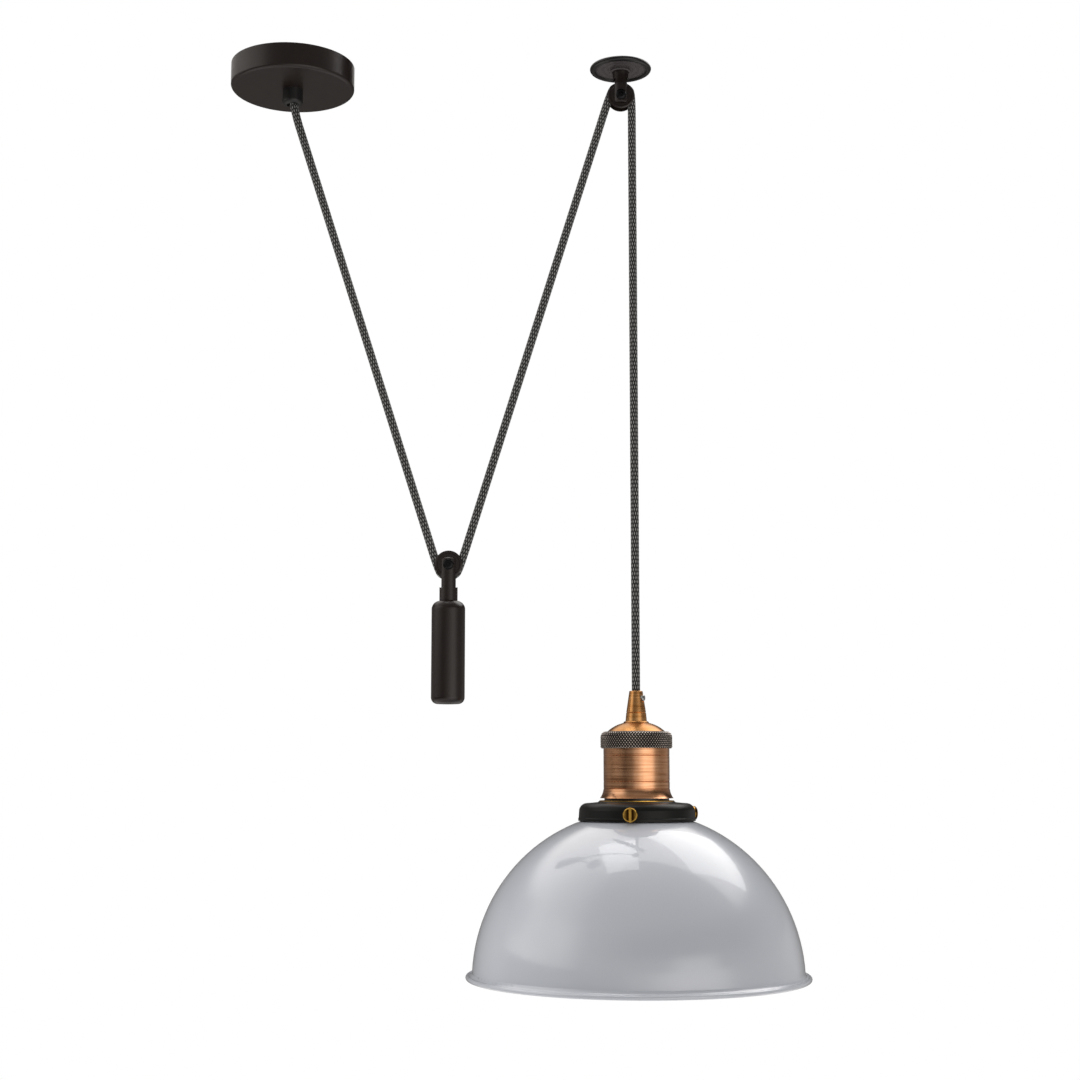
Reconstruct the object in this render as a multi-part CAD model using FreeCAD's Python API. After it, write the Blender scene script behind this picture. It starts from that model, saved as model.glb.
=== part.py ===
"""A rise and fall pendant: a ceiling rose, a braided flex that runs down round a counterweight's
sheave, up over a ceiling pulley and down to a lampholder with a spun dome shade.

Millimetres, +Z up. The origin is the middle of the ceiling rose, on the ceiling. +X points from
the rose to the pulley, and the viewer stands on the -Y side.
"""

import FreeCAD
import Part
import math
import os

V = FreeCAD.Vector
UP = V(0, 0, 1)

# ---- driving dimensions -------------------------------------------------------------------

CORD_R = 3.0            # braided flex, 6 mm over the braid
PITCH_R = 8.2           # the flex's centre line round either sheave
SHEAVE_R = 10.0         # over the flanges
SHEAVE_W = 8.0
SLOT_W = 8.4            # slot in both forks
GROOVE_R = 3.2
AXLE_R = 2.0            # M4 axle screws
BUSH_R = 2.6
RUN_GAP = 0.05          # radial running clearance

PULLEY_X = 244.0        # ceiling pulley
PULLEY_Z = -23.1        # its axle
LAMP_X = PULLEY_X + PITCH_R
WEIGHT_X = 118.5        # counterweight
WEIGHT_Z = -373.7       # its axle

ROSE_R = 45.5
ROSE_H = 18.0
SHEET = 1.2             # rose cup's wall
STRAP_T = 1.5           # crossbar
STRAP_W = 14.0
STRAP_DROP = 8.0        # how far the middle of the crossbar stands below the ceiling
SLOT_X = 30.5           # middle of each ceiling slot in the crossbar
SLOT_L = 14.0
SLOT_R = 2.25
STEM_R = 4.95           # M10 hollow stems, rose and lampholder
STEM_HOLE = 5.05
STEM_BORE = 3.5

PLATE_R = 22.75         # pulley plate
PLATE_RIM = 3.4
PLATE_WEB = 2.2
FORK_R = 6.2            # ceiling fork
STUD_R = 2.5            # M6 tapping hole for the ceiling stud

WEIGHT_R = 12.0
WEIGHT_TOP = -399.7
WEIGHT_L = 73.4
WEIGHT_FORK_R = 6.5

CONE_TOP = -463.9       # copper cord grip
CONE_BASE = -485.4
CAP_R = 20.9
RING_R = 25.5           # knurled ring
RING_TOP = -492.6
RING_BASE = -504.4
SHELL_R = 23.3          # copper shell
SHELL_TOP = -499.8
SHELL_LINE = -532.6
SKIRT_BASE = -539.2
BODY_R = 20.0           # insulating body of the lampholder
SOCKET_R = 13.3         # E27 screw shell, inside
SOCKET_MOUTH = -562.0
SOCKET_TOP = -540.5
BODY_BASE = -566.0

GALLERY_TOP = -541.4
GALLERY_BASE = -554.9
THUMB_Z = -550.0        # axis of the three shade screws
THUMB_FIRST = 261.0     # degrees from +X towards +Y
SHADE_R = 115.6         # outside of the dome
SHADE_T = 0.9
SHADE_Z = -663.8        # centre of the dome
RIM_R = 120.0
BEAD_R = 1.6
BEAD_Z = -662.0

# The flex's route, as points in X and Z. The five points round each sheave are the corners of a
# polygon whose sides touch the sheave's pitch circle.
ROUTE = [
    (0.0, -17.5),
    (0.0, -29.5),
    (111.3, -378.2),
    (114.4, -381.1),
    (118.5, -382.2),
    (122.6, -381.1),
    (125.7, -378.1),
    (236.9, -18.4),
    (240.5, -15.3),
    (245.3, -14.7),
    (249.6, -16.7),
    (252.2, -20.7),
    (252.2, -491.5),
]
WEIGHT_TURN = (2, 6)    # first and last point round the counterweight's sheave
PULLEY_TURN = (7, 11)   # and round the ceiling's
STUB = 11.0             # straight flex kept at each side of a sheave
BEND_SHARE = 0.45       # share of the shorter run that a bend takes up


# ---- tools --------------------------------------------------------------------------------

def save(name, shape):
    """Write one sub-part."""
    if not shape.isValid():
        raise ValueError(name + " is not a valid solid")
    shape.exportStep("parts/" + name + ".step")


def edges_through(start, steps, place):
    """Edges from start along steps: a step is a point, or a pair (through, to) for an arc."""
    edges = []
    here = start
    for step in steps:
        if isinstance(step[0], tuple):
            through, to = step
            edges.append(Part.Arc(place(here), place(through), place(to)).toShape())
        else:
            to = step
            edges.append(Part.LineSegment(place(here), place(to)).toShape())
        here = to
    return edges


def turned(x, start, *steps):
    """A turned piece on the vertical axis at x, from its closed outline in (radius, z)."""
    edges = edges_through(start, steps + (start,), lambda p: V(x + p[0], 0, p[1]))
    return Part.Face(Part.Wire(edges)).revolve(V(x, 0, 0), UP, 360)


def turned_on(origin, direction, start, *steps):
    """A turned piece on any axis, from its closed outline in (distance along the axis, radius)."""
    axis = V(direction).normalize()
    side = axis.cross(UP)
    if side.Length < 0.5:
        side = V(1, 0, 0)
    side.normalize()
    edges = edges_through(
        start, steps + (start,), lambda p: origin + axis * p[0] + side * p[1]
    )
    return Part.Face(Part.Wire(edges)).revolve(origin, axis, 360)


def tube(x, outer, inner, low, high):
    """A plain sleeve."""
    return turned(x, (inner, low), (outer, low), (outer, high), (inner, high))


def rod(start, direction, radius, length):
    return Part.makeCylinder(radius, length, start, direction)


def block(low, high):
    size = V(*high) - V(*low)
    return Part.makeBox(size.x, size.y, size.z, V(*low))


def hexagon(centre, direction, across_flats, height):
    """A hexagonal prism that starts at centre and grows along direction."""
    axis = V(direction).normalize()
    side = axis.cross(V(1, 0, 0))
    if side.Length < 0.5:
        side = axis.cross(V(0, 1, 0))
    side.normalize()
    other = axis.cross(side)
    reach = across_flats / math.sqrt(3)
    corners = []
    for i in range(7):
        turn = math.radians(60 * i)
        corners.append(
            centre + side * (reach * math.cos(turn)) + other * (reach * math.sin(turn))
        )
    return Part.Face(Part.makePolygon(corners)).extrude(axis * height)


def chamfered_nut(centre, direction, across_flats, height, bore):
    """A hexagon nut with the corners turned off at both faces."""
    nut = hexagon(centre, direction, across_flats, height)
    corner = across_flats / math.sqrt(3)
    flat = across_flats / 2
    fall = (corner - flat) * 0.58
    barrel = turned_on(
        centre, direction,
        (0, bore), (0, flat), (fall, corner), (height - fall, corner), (height, flat),
        (height, bore),
    )
    return nut.common(barrel)


def path(points, radius, name):
    """Straight runs joined by tangent arcs, each as large as its shorter run allows."""
    corners = [V(x, y, z) for x, y, z in points]
    edges = []
    radii = []
    here = corners[0]
    for before, corner, after in zip(corners, corners[1:], corners[2:]):
        into = (corner - before).normalize()
        out = (after - corner).normalize()
        half = into.getAngle(out) / 2
        reach = BEND_SHARE * min((corner - before).Length, (after - corner).Length)
        if radius:
            reach = radius * math.tan(half)
        radii.append(round(reach / math.tan(half), 1))
        first = corner - into * reach
        last = corner + out * reach
        inward = (out - into).normalize()
        bend = reach / math.tan(half)
        middle = corner + inward * (bend / math.cos(half) - bend)
        edges.append(Part.LineSegment(here, first).toShape())
        edges.append(Part.Arc(first, middle, last).toShape())
        here = last
    edges.append(Part.LineSegment(here, corners[-1]).toShape())
    if radii:
        print(name, "bend radii", radii)
    return Part.Wire(edges)


def wire_solid(points, section, name, radius=None):
    """A round wire or flex along points; its volume is compared with section times length."""
    line = path(points, radius, name)
    start = line.Edges[0].Vertexes[0].Point
    heading = line.Edges[0].tangentAt(line.Edges[0].FirstParameter)
    ring = Part.Wire(Part.Circle(start, heading, section).toShape())
    solid = line.makePipeShell([ring], True, False)
    share = solid.Volume / (math.pi * section ** 2 * line.Length)
    print(name, "length", round(line.Length, 1), "volume share", round(share, 4))
    return solid


# ---- ceiling rose -------------------------------------------------------------------------

EARTH_X = 12.8          # earth screw in the crossbar
NUT_T = 3.0


def rose_cup():
    floor = -ROSE_H + SHEET
    inner = ROSE_R - SHEET
    corner = 2.2
    return turned(
        0,
        (ROSE_R, 0),
        (ROSE_R, -ROSE_H + corner),
        ((ROSE_R - 0.3 * corner, -ROSE_H + 0.3 * corner), (ROSE_R - corner, -ROSE_H)),
        (5.2, -ROSE_H),
        (5.2, floor),
        (inner - 1.0, floor),
        ((inner - 0.3, floor + 0.3), (inner, floor + 1.0)),
        (inner, 0),
    )


def rose_crossbar():
    """Cranked strap: the feet lie on the ceiling and the middle stands clear of it for the nut."""
    end, foot, flat = 40.0, 21.5, 17.5
    low = -STRAP_DROP
    slant = 0.6
    top = [(-end, 0), (-foot, 0), (-flat, low), (flat, low), (foot, 0), (end, 0)]
    under = [
        (end, -STRAP_T), (foot + slant, -STRAP_T), (flat + slant, low - STRAP_T),
        (-flat - slant, low - STRAP_T), (-foot - slant, -STRAP_T), (-end, -STRAP_T),
    ]
    corners = [V(x, -STRAP_W / 2, z) for x, z in top + under]
    strap = Part.Face(Part.makePolygon(corners + corners[:1])).extrude(V(0, STRAP_W, 0))
    half = STRAP_W / 2
    plan = block((-end + half, -half, -20), (end - half, half, 5))
    for side in (-1, 1):
        plan = plan.fuse(rod(V(side * (end - half), 0, -20), UP, half, 25))
    strap = strap.common(plan)
    for side in (-1, 1):
        straight = SLOT_L / 2 - SLOT_R
        middle = side * SLOT_X
        strap = strap.cut(block((middle - straight, -SLOT_R, -5), (middle + straight, SLOT_R, 2)))
        for x in (middle - straight, middle + straight):
            strap = strap.cut(rod(V(x, 0, -5), UP, SLOT_R, 7))
    strap = strap.cut(rod(V(0, 0, -12), UP, STEM_HOLE, 10))
    return strap.cut(rod(V(EARTH_X, 0, -12), UP, 2.05, 10)).removeSplitter()


def rose_locknuts():
    nuts = []
    for low in (-STRAP_DROP, -STRAP_DROP - STRAP_T - NUT_T):
        nuts.append(chamfered_nut(V(0, 0, low), UP, 14.0, NUT_T, STEM_HOLE))
    return Part.Compound(nuts)


def rose_earth_screw():
    seat = -STRAP_DROP
    screw = turned(
        EARTH_X, (0, seat), (3.5, seat), (3.5, seat + 1.5),
        ((2.5, seat + 2.3), (0, seat + 2.6)),
    )
    screw = screw.fuse(rod(V(EARTH_X, 0, seat - 5.0), UP, AXLE_R, 5.2))
    slot = block((EARTH_X - 4, -0.4, seat + 1.3), (EARTH_X + 4, 0.4, seat + 3))
    return screw.cut(slot)


def rose_gland_collet():
    """Threaded hollow stem; its slit lower end is squeezed on to the flex by the gland cap."""
    stem = turned(
        0, (STEM_BORE, -4.2), (STEM_R, -4.2), (STEM_R, -22.4), (4.3, -24.0), (3.1, -24.0),
        (3.1, -22.0), (STEM_BORE, -21.4),
    )
    for turn in (45, 135):
        slit = block((-6, -0.4, -25), (6, 0.4, -19.5))
        slit.rotate(V(0, 0, 0), UP, turn)
        stem = stem.cut(slit)
    return stem


def rose_gland():
    under = -ROSE_H
    return turned(
        0, (5.0, under), (7.5, under), (7.5, -26.4),
        ((6.9, -28.4), (4.9, -29.6)), (4.3, -29.6), (3.9, -28.0), (3.9, -24.6),
        (4.5, -24.1), (5.0, -22.5),
    )


BLOCK_Y = 24.0
BLOCK_POLES = (-9.5, 0.0, 9.5)
BLOCK_FLOOR = -ROSE_H + SHEET
BLOCK_TUNNEL = BLOCK_FLOOR + 4.2
BLOCK_TOP = BLOCK_FLOOR + 12.0


def rose_terminal_block():
    half_w, half_d = 15.0, 8.0
    body = block((-half_w, BLOCK_Y - half_d, BLOCK_FLOOR), (half_w, BLOCK_Y + half_d, BLOCK_TOP))
    body = body.makeFillet(1.0, [e for e in body.Edges if abs(e.tangentAt(0).z) > 0.9])
    for pole in BLOCK_POLES:
        tunnel = rod(V(pole, BLOCK_Y - 10, BLOCK_TUNNEL), V(0, 1, 0), 1.7, 20)
        well = rod(V(pole, BLOCK_Y, BLOCK_TUNNEL), UP, 2.1, 12)
        body = body.cut(tunnel).cut(well)
    for between in (-4.75, 4.75):
        groove = block((between - 0.6, BLOCK_Y - 10, BLOCK_TOP - 4), (between + 0.6, BLOCK_Y + 10, 0))
        body = body.cut(groove)
    return body


def rose_terminal_screws():
    screws = []
    for pole in BLOCK_POLES:
        low = BLOCK_TUNNEL + 1.3
        screw = rod(V(pole, BLOCK_Y, low), UP, 1.9, BLOCK_TOP - 2 - low)
        slot = block((pole - 3, BLOCK_Y - 0.3, BLOCK_TOP - 2.8), (pole + 3, BLOCK_Y + 0.3, 0))
        screws.append(screw.cut(slot))
    return Part.Compound(screws)


CORE_R = 1.1
CORE_BEND = 2.2


def rose_core(x, y, pole, name):
    """One insulated core, from the end of the flex over the locknut to its pole."""
    over = -2.6
    points = [
        (x, y, ROUTE[0][1]), (x, y, over), (pole, 12.0, over),
        (pole, 12.0, BLOCK_TUNNEL), (pole, 20.0, BLOCK_TUNNEL),
    ]
    return wire_solid(points, CORE_R, name, CORE_BEND)


# ---- pulleys ------------------------------------------------------------------------------

def sheave(x, z):
    """Grooved wheel: the groove is round below the flex's centre line and opens out above it."""
    half = SHEAVE_W / 2
    lip = GROOVE_R + 0.15
    bore = BUSH_R + RUN_GAP
    bevel = 0.45
    return turned_on(
        V(x, 0, z), V(0, 1, 0),
        (-half, bore), (-half, 4.2), (-half + 0.3, 4.6), (-half + 0.3, 7.8), (-half, 8.2),
        (-half, SHEAVE_R - 2 * bevel), (-half + bevel, SHEAVE_R), (-lip, SHEAVE_R),
        (-GROOVE_R, PITCH_R), ((0, PITCH_R - GROOVE_R), (GROOVE_R, PITCH_R)),
        (lip, SHEAVE_R), (half - bevel, SHEAVE_R), (half, SHEAVE_R - 2 * bevel),
        (half, 8.2), (half - 0.3, 7.8), (half - 0.3, 4.6), (half, 4.2), (half, bore),
    )


def bush(x, z, length):
    centre = V(x, -length / 2, z)
    return turned_on(
        centre, V(0, 1, 0),
        (0, AXLE_R + RUN_GAP), (0, BUSH_R), (length, BUSH_R), (length, AXLE_R + RUN_GAP),
    )


AXLE_HEAD_R = 3.8
AXLE_SEAT = 5.4         # from the middle of a fork to the spot face under the screw's head
SPOT_R = 4.05


def axle(x, z):
    """Low-head screw with a hexagon socket; the head is on the viewer's side."""
    head = turned_on(
        V(x, -AXLE_SEAT, z), V(0, -1, 0),
        (0, 0), (0, AXLE_HEAD_R), (0.9, AXLE_HEAD_R), ((1.6, 3.1), (1.9, 1.8)), (1.9, 0),
    )
    head = head.cut(hexagon(V(x, -AXLE_SEAT - 2.5, z), V(0, 1, 0), 3.0, 1.8))
    return head.fuse(rod(V(x, -AXLE_SEAT - 0.1, z), V(0, 1, 0), AXLE_R, 2 * AXLE_SEAT + 3.2))


def axle_nut(x, z):
    return chamfered_nut(V(x, AXLE_SEAT, z), V(0, 1, 0), 7.0, 2.4, AXLE_R + RUN_GAP)


def slotted(stem, x, z, floor_r, way):
    """Saw the sheave's slot into a stem, and spot-face and drill its arms for the axle screw.

    way is -1 where the arms point down and 1 where they point up.
    """
    half = SLOT_W / 2
    reach = 20
    low = min(0, way * reach)
    saw = block((x - reach, -half, z + low), (x + reach, half, z + low + reach))
    saw = saw.fuse(rod(V(x, -half, z), V(0, 1, 0), floor_r, SLOT_W))
    stem = stem.cut(saw)
    stem = stem.cut(rod(V(x, -reach, z), V(0, 1, 0), AXLE_R + 0.1, 2 * reach))
    for side in (-1, 1):
        start = V(x, side * AXLE_SEAT, z)
        stem = stem.cut(rod(start, V(0, side, 0), SPOT_R, 4))
    return stem


CEILING_SAW_R = 13.8
CEILING_ARM_END = PULLEY_Z - 5.6


def ceiling_fork():
    top = -PLATE_WEB
    stem = turned(
        PULLEY_X, (0, top), (FORK_R, top), (FORK_R - 0.1, -5.0),
        ((FORK_R - 0.45, -9.0), (FORK_R, -14.0)),
        (FORK_R, CEILING_ARM_END + 0.7), (FORK_R - 0.7, CEILING_ARM_END), (0, CEILING_ARM_END),
    )
    stem = stem.cut(rod(V(PULLEY_X, 0, top - 5.8), UP, STUD_R, 8))
    return slotted(stem, PULLEY_X, PULLEY_Z, CEILING_SAW_R, -1)


def pulley_plate():
    half = PLATE_RIM / 2
    flat = PLATE_R - half
    return turned(
        PULLEY_X, (3.2, 0), (flat, 0), ((PLATE_R, -half), (flat, -PLATE_RIM)),
        (flat - 1.6, -PLATE_RIM), (flat - 2.2, -PLATE_WEB), (3.2, -PLATE_WEB),
    )


def pulley_collar():
    top = -PLATE_WEB
    return turned(
        PULLEY_X, (FORK_R + 0.15, top), (7.5, top), (7.5, top - 1.6), (7.0, top - 2.1),
        (FORK_R + 0.15, top - 2.1),
    )


WEIGHT_SAW_R = 17.5
WEIGHT_ARM_END = WEIGHT_Z + 5.0
SCREW_R = 3.0           # long M6 screw through the weight
SCREW_HEAD_R = 5.0
COUNTERBORE_R = 5.7
COUNTERBORE = 7.0


def weight_fork():
    stem = turned(
        WEIGHT_X, (0, WEIGHT_TOP), (WEIGHT_FORK_R - 0.3, WEIGHT_TOP),
        (WEIGHT_FORK_R, WEIGHT_TOP + 0.3), (WEIGHT_FORK_R, WEIGHT_ARM_END - 0.8),
        (WEIGHT_FORK_R - 0.8, WEIGHT_ARM_END), (0, WEIGHT_ARM_END),
    )
    stem = stem.cut(rod(V(WEIGHT_X, 0, WEIGHT_TOP - 1), UP, SCREW_R + RUN_GAP, 7.2))
    return slotted(stem, WEIGHT_X, WEIGHT_Z, WEIGHT_SAW_R, 1)


def weight_body():
    base = WEIGHT_TOP - WEIGHT_L
    shoulder = 6.0
    foot = 4.6
    bore = SCREW_R + 0.3
    diagonal = 1 - math.sqrt(0.5)
    return turned(
        WEIGHT_X,
        (bore, WEIGHT_TOP),
        (WEIGHT_R - shoulder, WEIGHT_TOP),
        (
            (WEIGHT_R - shoulder * diagonal, WEIGHT_TOP - shoulder * diagonal),
            (WEIGHT_R, WEIGHT_TOP - shoulder),
        ),
        (WEIGHT_R, base + foot),
        (
            (WEIGHT_R - foot * diagonal, base + foot * diagonal),
            (WEIGHT_R - foot, base),
        ),
        (COUNTERBORE_R + 0.5, base),
        (COUNTERBORE_R, base + 0.5),
        (COUNTERBORE_R, base + COUNTERBORE),
        (bore, base + COUNTERBORE),
    )


def weight_screw():
    seat = WEIGHT_TOP - WEIGHT_L + COUNTERBORE
    head = seat - 6.0
    screw = turned(
        WEIGHT_X, (0, head), (SCREW_HEAD_R - 0.5, head), (SCREW_HEAD_R, head + 0.5),
        (SCREW_HEAD_R, seat), (SCREW_R, seat), (SCREW_R, WEIGHT_TOP + 5.6), (0, WEIGHT_TOP + 5.6),
    )
    return screw.cut(hexagon(V(WEIGHT_X, 0, head - 1), UP, 5.0, 4.0))


# ---- flex ---------------------------------------------------------------------------------

def on_run(index, back, distance):
    """A point on the route, distance away from point index towards the point before or after."""
    here = V(ROUTE[index][0], 0, ROUTE[index][1])
    step = -1 if back else 1
    other = V(ROUTE[index + step][0], 0, ROUTE[index + step][1])
    point = here + (other - here).normalize() * distance
    return (point.x, 0, point.z)


def route(first, last):
    return [(x, 0, z) for x, z in ROUTE[first:last + 1]]


def flex_stretches():
    """The flex in the stretches that ride on different bodies, each as (name, points)."""
    rose_out = on_run(1, False, 8.0)
    weight_in = on_run(WEIGHT_TURN[0], True, STUB)
    weight_out = on_run(WEIGHT_TURN[1], False, STUB)
    pulley_in = on_run(PULLEY_TURN[0], True, STUB)
    pulley_out = on_run(PULLEY_TURN[1], False, STUB)
    mouth = (LAMP_X, 0, CONE_TOP)
    end = (LAMP_X, 0, ROUTE[-1][1])
    return [
        ("cord_rose_tail", route(0, 1) + [rose_out]),
        ("cord_rose_leg", [rose_out, weight_in]),
        ("cord_weight_bend", [weight_in] + route(*WEIGHT_TURN) + [weight_out]),
        ("cord_pulley_leg", [weight_out, pulley_in]),
        ("cord_pulley_bend", [pulley_in] + route(*PULLEY_TURN) + [pulley_out]),
        ("cord_lamp_leg", [pulley_out, mouth]),
        ("cord_lamp_tail", [mouth, end]),
    ]


# ---- lampholder ---------------------------------------------------------------------------

GRIP_SCREW_Z = -468.9
GRIP_SCREW_TURN = -34.0


def grip_screw_place(distance):
    """A point on the grip screw's axis, and the direction that the axis points out of the cone."""
    turn = math.radians(GRIP_SCREW_TURN)
    out = V(math.cos(turn), math.sin(turn), 0)
    return V(LAMP_X, 0, GRIP_SCREW_Z) + out * distance, out


def cord_grip():
    """Tapered copper grip: the flex enters at the top and the stem screws in below."""
    line = CONE_BASE + 6.2
    bore = CORD_R + 0.25
    shoulder = CONE_BASE + 8.0
    cone = turned(
        LAMP_X, (bore, CONE_TOP), (4.2, CONE_TOP), ((4.62, CONE_TOP - 0.18), (4.8, CONE_TOP - 0.6)),
        (6.95, line + 0.35), (6.65, line), (7.05, line - 0.35), (7.6, CONE_BASE),
        (STEM_HOLE, CONE_BASE), (STEM_HOLE, shoulder), (bore, shoulder),
    )
    start, out = grip_screw_place(0)
    spot, out = grip_screw_place(5.0)
    return cone.cut(rod(start, out, 2.25, 9)).cut(rod(spot, out, 3.0, 4))


def cord_grip_screw():
    tip, out = grip_screw_place(CORD_R + 0.05)
    length = 4.0
    screw = turned_on(
        tip, out, (0, 0), (0, 1.6), (0.5, 2.15), (length - 0.7, 2.15),
        ((length - 0.2, 1.5), (length, 0)),
    )
    slot = block((length - 0.8, -3, -0.3), (length + 1, 3, 0.3))
    slot.rotate(V(0, 0, 0), UP, GRIP_SCREW_TURN)
    slot.translate(tip)
    return screw.cut(slot)


def holder_nipple():
    return tube(LAMP_X, STEM_R, STEM_BORE, -491.5, CONE_BASE + 7.0)


CAP_T = 0.8
CROWN = CONE_BASE
CAP_RIM = SHELL_TOP + 0.8


def nipple_nut():
    return chamfered_nut(V(LAMP_X, 0, CROWN - CAP_T - 2.8), UP, 13.0, 2.8, STEM_HOLE)


def earth_tag():
    top = CROWN - CAP_T - 2.8
    ring = tube(LAMP_X, 6.6, STEM_HOLE, top - 0.6, top)
    tab = block((LAMP_X - 2, -12.5, top - 0.6), (LAMP_X + 2, -6.0, top))
    hole = rod(V(LAMP_X, -10.3, top - 2), UP, 1.0, 4)
    return ring.fuse(tab).cut(hole).removeSplitter()


def holder_cap():
    """Copper dome with a flat crown and a rim that the knurled ring pulls down on the shell."""
    flange = SHELL_R - 0.4
    return turned(
        LAMP_X,
        (STEM_HOLE, CROWN),
        (8.4, CROWN),
        (8.8, CROWN - 0.4),
        (9.1, CROWN - 1.1),
        ((16.2, CROWN - 3.95), (CAP_R, RING_TOP - 0.4)),
        (CAP_R, CAP_RIM),
        (flange, CAP_RIM),
        (flange, SHELL_TOP),
        (CAP_R - CAP_T, SHELL_TOP),
        (CAP_R - CAP_T, RING_TOP - 0.8),
        ((15.8, CROWN - 4.75), (8.8, CROWN - 2.0)),
        (8.1, CROWN - CAP_T),
        (STEM_HOLE, CROWN - CAP_T),
    )


def knurled_ring():
    return turned(
        LAMP_X,
        (CAP_R + 0.45, RING_TOP),
        (22.2, RING_TOP),
        ((24.6, RING_TOP - 1.4), (RING_R, RING_TOP - 4.2)),
        (RING_R, RING_BASE + 0.8),
        (RING_R - 0.8, RING_BASE),
        (SHELL_R + 0.45, RING_BASE),
        (SHELL_R + 0.45, CAP_RIM + 0.4),
        (CAP_R + 0.45, CAP_RIM + 0.4),
    )


def holder_shell():
    """Copper sleeve with two scribed lines and a flared skirt."""
    inner = SHELL_R - 0.8
    line = 0.25
    steps = []
    for z in (-509.4, -527.5):
        steps += [(SHELL_R, z + line), (SHELL_R - line, z), (SHELL_R, z - line)]
    return turned(
        LAMP_X,
        (SHELL_R, SHELL_TOP),
        *steps,
        (SHELL_R, SHELL_LINE + line),
        (SHELL_R - line, SHELL_LINE),
        (SHELL_R + 0.1, SHELL_LINE - line),
        ((SHELL_R + 0.9, SHELL_LINE - 3.6), (25.9, SKIRT_BASE)),
        (25.2, SKIRT_BASE),
        ((SHELL_R + 0.2, SHELL_LINE - 3.8), (inner, SHELL_LINE - 0.6)),
        (inner, SHELL_TOP),
    )


def socket_insulator():
    """Moulded body: a deck for the terminals, a collar under the shell, a threaded neck below."""
    deck = -503.0
    collar_top = -538.6
    pocket = 14.2
    return turned(
        LAMP_X,
        (0, deck),
        (22.1, deck),
        (22.1, deck - 9),
        (BODY_R, deck - 10),
        (BODY_R, collar_top),
        (22.8, collar_top),
        (22.8, GALLERY_TOP + 0.6),
        (BODY_R, GALLERY_TOP + 0.6),
        (BODY_R, BODY_BASE + 0.8),
        (BODY_R - 0.8, BODY_BASE),
        (pocket + 1.0, BODY_BASE),
        (pocket, BODY_BASE + 1.5),
        (pocket, SOCKET_TOP + 0.7),
        (7.0, SOCKET_TOP + 0.7),
        (7.0, SOCKET_TOP + 4.7),
        (0, SOCKET_TOP + 4.7),
    )


def socket_screw_shell():
    wall = 0.75
    return turned(
        LAMP_X,
        (SOCKET_R, SOCKET_MOUTH),
        (SOCKET_R + wall, SOCKET_MOUTH),
        (SOCKET_R + wall, SOCKET_TOP + 0.6),
        (7.4, SOCKET_TOP + 0.6),
        (7.4, SOCKET_TOP),
        (SOCKET_R, SOCKET_TOP),
    )


def centre_contact():
    """Sprung brass tongue for the bulb's tip."""
    top = SOCKET_TOP + 4.7
    half = 2.4
    profile = [
        (-6.0, top), (5.0, top), (5.0, top - 0.5), (-4.6, top - 0.5), (2.6, top - 4.0),
        (2.2, top - 4.5), (-6.0, top - 1.0),
    ]
    corners = [V(LAMP_X + x, -half, z) for x, z in profile]
    return Part.Face(Part.makePolygon(corners + corners[:1])).extrude(V(0, 2 * half, 0))


DECK = -503.0
TERMINAL_X = 9.0


def socket_terminals():
    blocks = []
    for side in (-1, 1):
        x = LAMP_X + side * TERMINAL_X
        body = block((x - 3, -4, DECK), (x + 3, 4, DECK + 5))
        body = body.cut(rod(V(x, 0, DECK + 2), UP, 1.3, 4))
        body = body.cut(rod(V(x, -5, DECK + 2.4), V(0, 1, 0), 1.3, 5))
        blocks.append(body)
    return Part.Compound(blocks)


def socket_terminal_screws():
    screws = []
    for side in (-1, 1):
        x = LAMP_X + side * TERMINAL_X
        screw = rod(V(x, -6.0, DECK + 2.4), V(0, 1, 0), 1.2, 5.2)
        screw = screw.fuse(rod(V(x, -5.6, DECK + 2.4), V(0, 1, 0), 2.0, 1.4))
        slot = block((x - 3, -6.5, DECK + 2.1), (x + 3, -5.4, DECK + 2.7))
        screws.append(screw.cut(slot))
    return Part.Compound(screws)


def lamp_core(x, y, to_x, to_y, low, name):
    """One insulated core, from the end of the flex to its terminal."""
    end = ROUTE[-1][1]
    level = end - 3.0
    points = [
        (LAMP_X + x, y, end), (LAMP_X + x, y, level), (LAMP_X + to_x, to_y, level),
        (LAMP_X + to_x, to_y, low),
    ]
    return wire_solid(points, CORE_R, name, 1.9)


# ---- shade and its holder -----------------------------------------------------------------

def gallery_washer():
    return tube(LAMP_X, 26.3, BODY_R + 0.2, GALLERY_TOP, GALLERY_TOP + 0.6)


def shade_gallery():
    """Spun black cup that holds the shade's neck with three screws."""
    hole = BODY_R + 0.3
    cup = turned(
        LAMP_X,
        (hole, GALLERY_TOP),
        (26.8, GALLERY_TOP),
        (27.4, GALLERY_TOP - 0.6),
        (34.6, GALLERY_TOP - 1.3),
        ((38.8, GALLERY_TOP - 2.7), (40.65, GALLERY_TOP - 6.0)),
        (41.0, GALLERY_BASE + 2.2),
        (41.3, GALLERY_BASE + 1.8),
        (41.3, GALLERY_BASE),
        (40.2, GALLERY_BASE),
        (39.6, GALLERY_TOP - 6.1),
        ((38.0, GALLERY_TOP - 3.5), (34.4, GALLERY_TOP - 2.3)),
        (26.9, GALLERY_TOP - 1.6),
        (hole, GALLERY_TOP - 1.6),
    )
    for i in range(3):
        origin, out = thumb_axis(i)
        cup = cup.cut(rod(origin + out * 34, out, THUMB_R + RUN_GAP, 12))
    return cup


THUMB_R = 1.95
THUMB_HEAD_R = 5.1
THUMB_TIP = 36.9


def thumb_axis(i):
    turn = math.radians(THUMB_FIRST + 120 * i)
    return V(LAMP_X, 0, THUMB_Z), V(math.cos(turn), math.sin(turn), 0)


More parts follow.
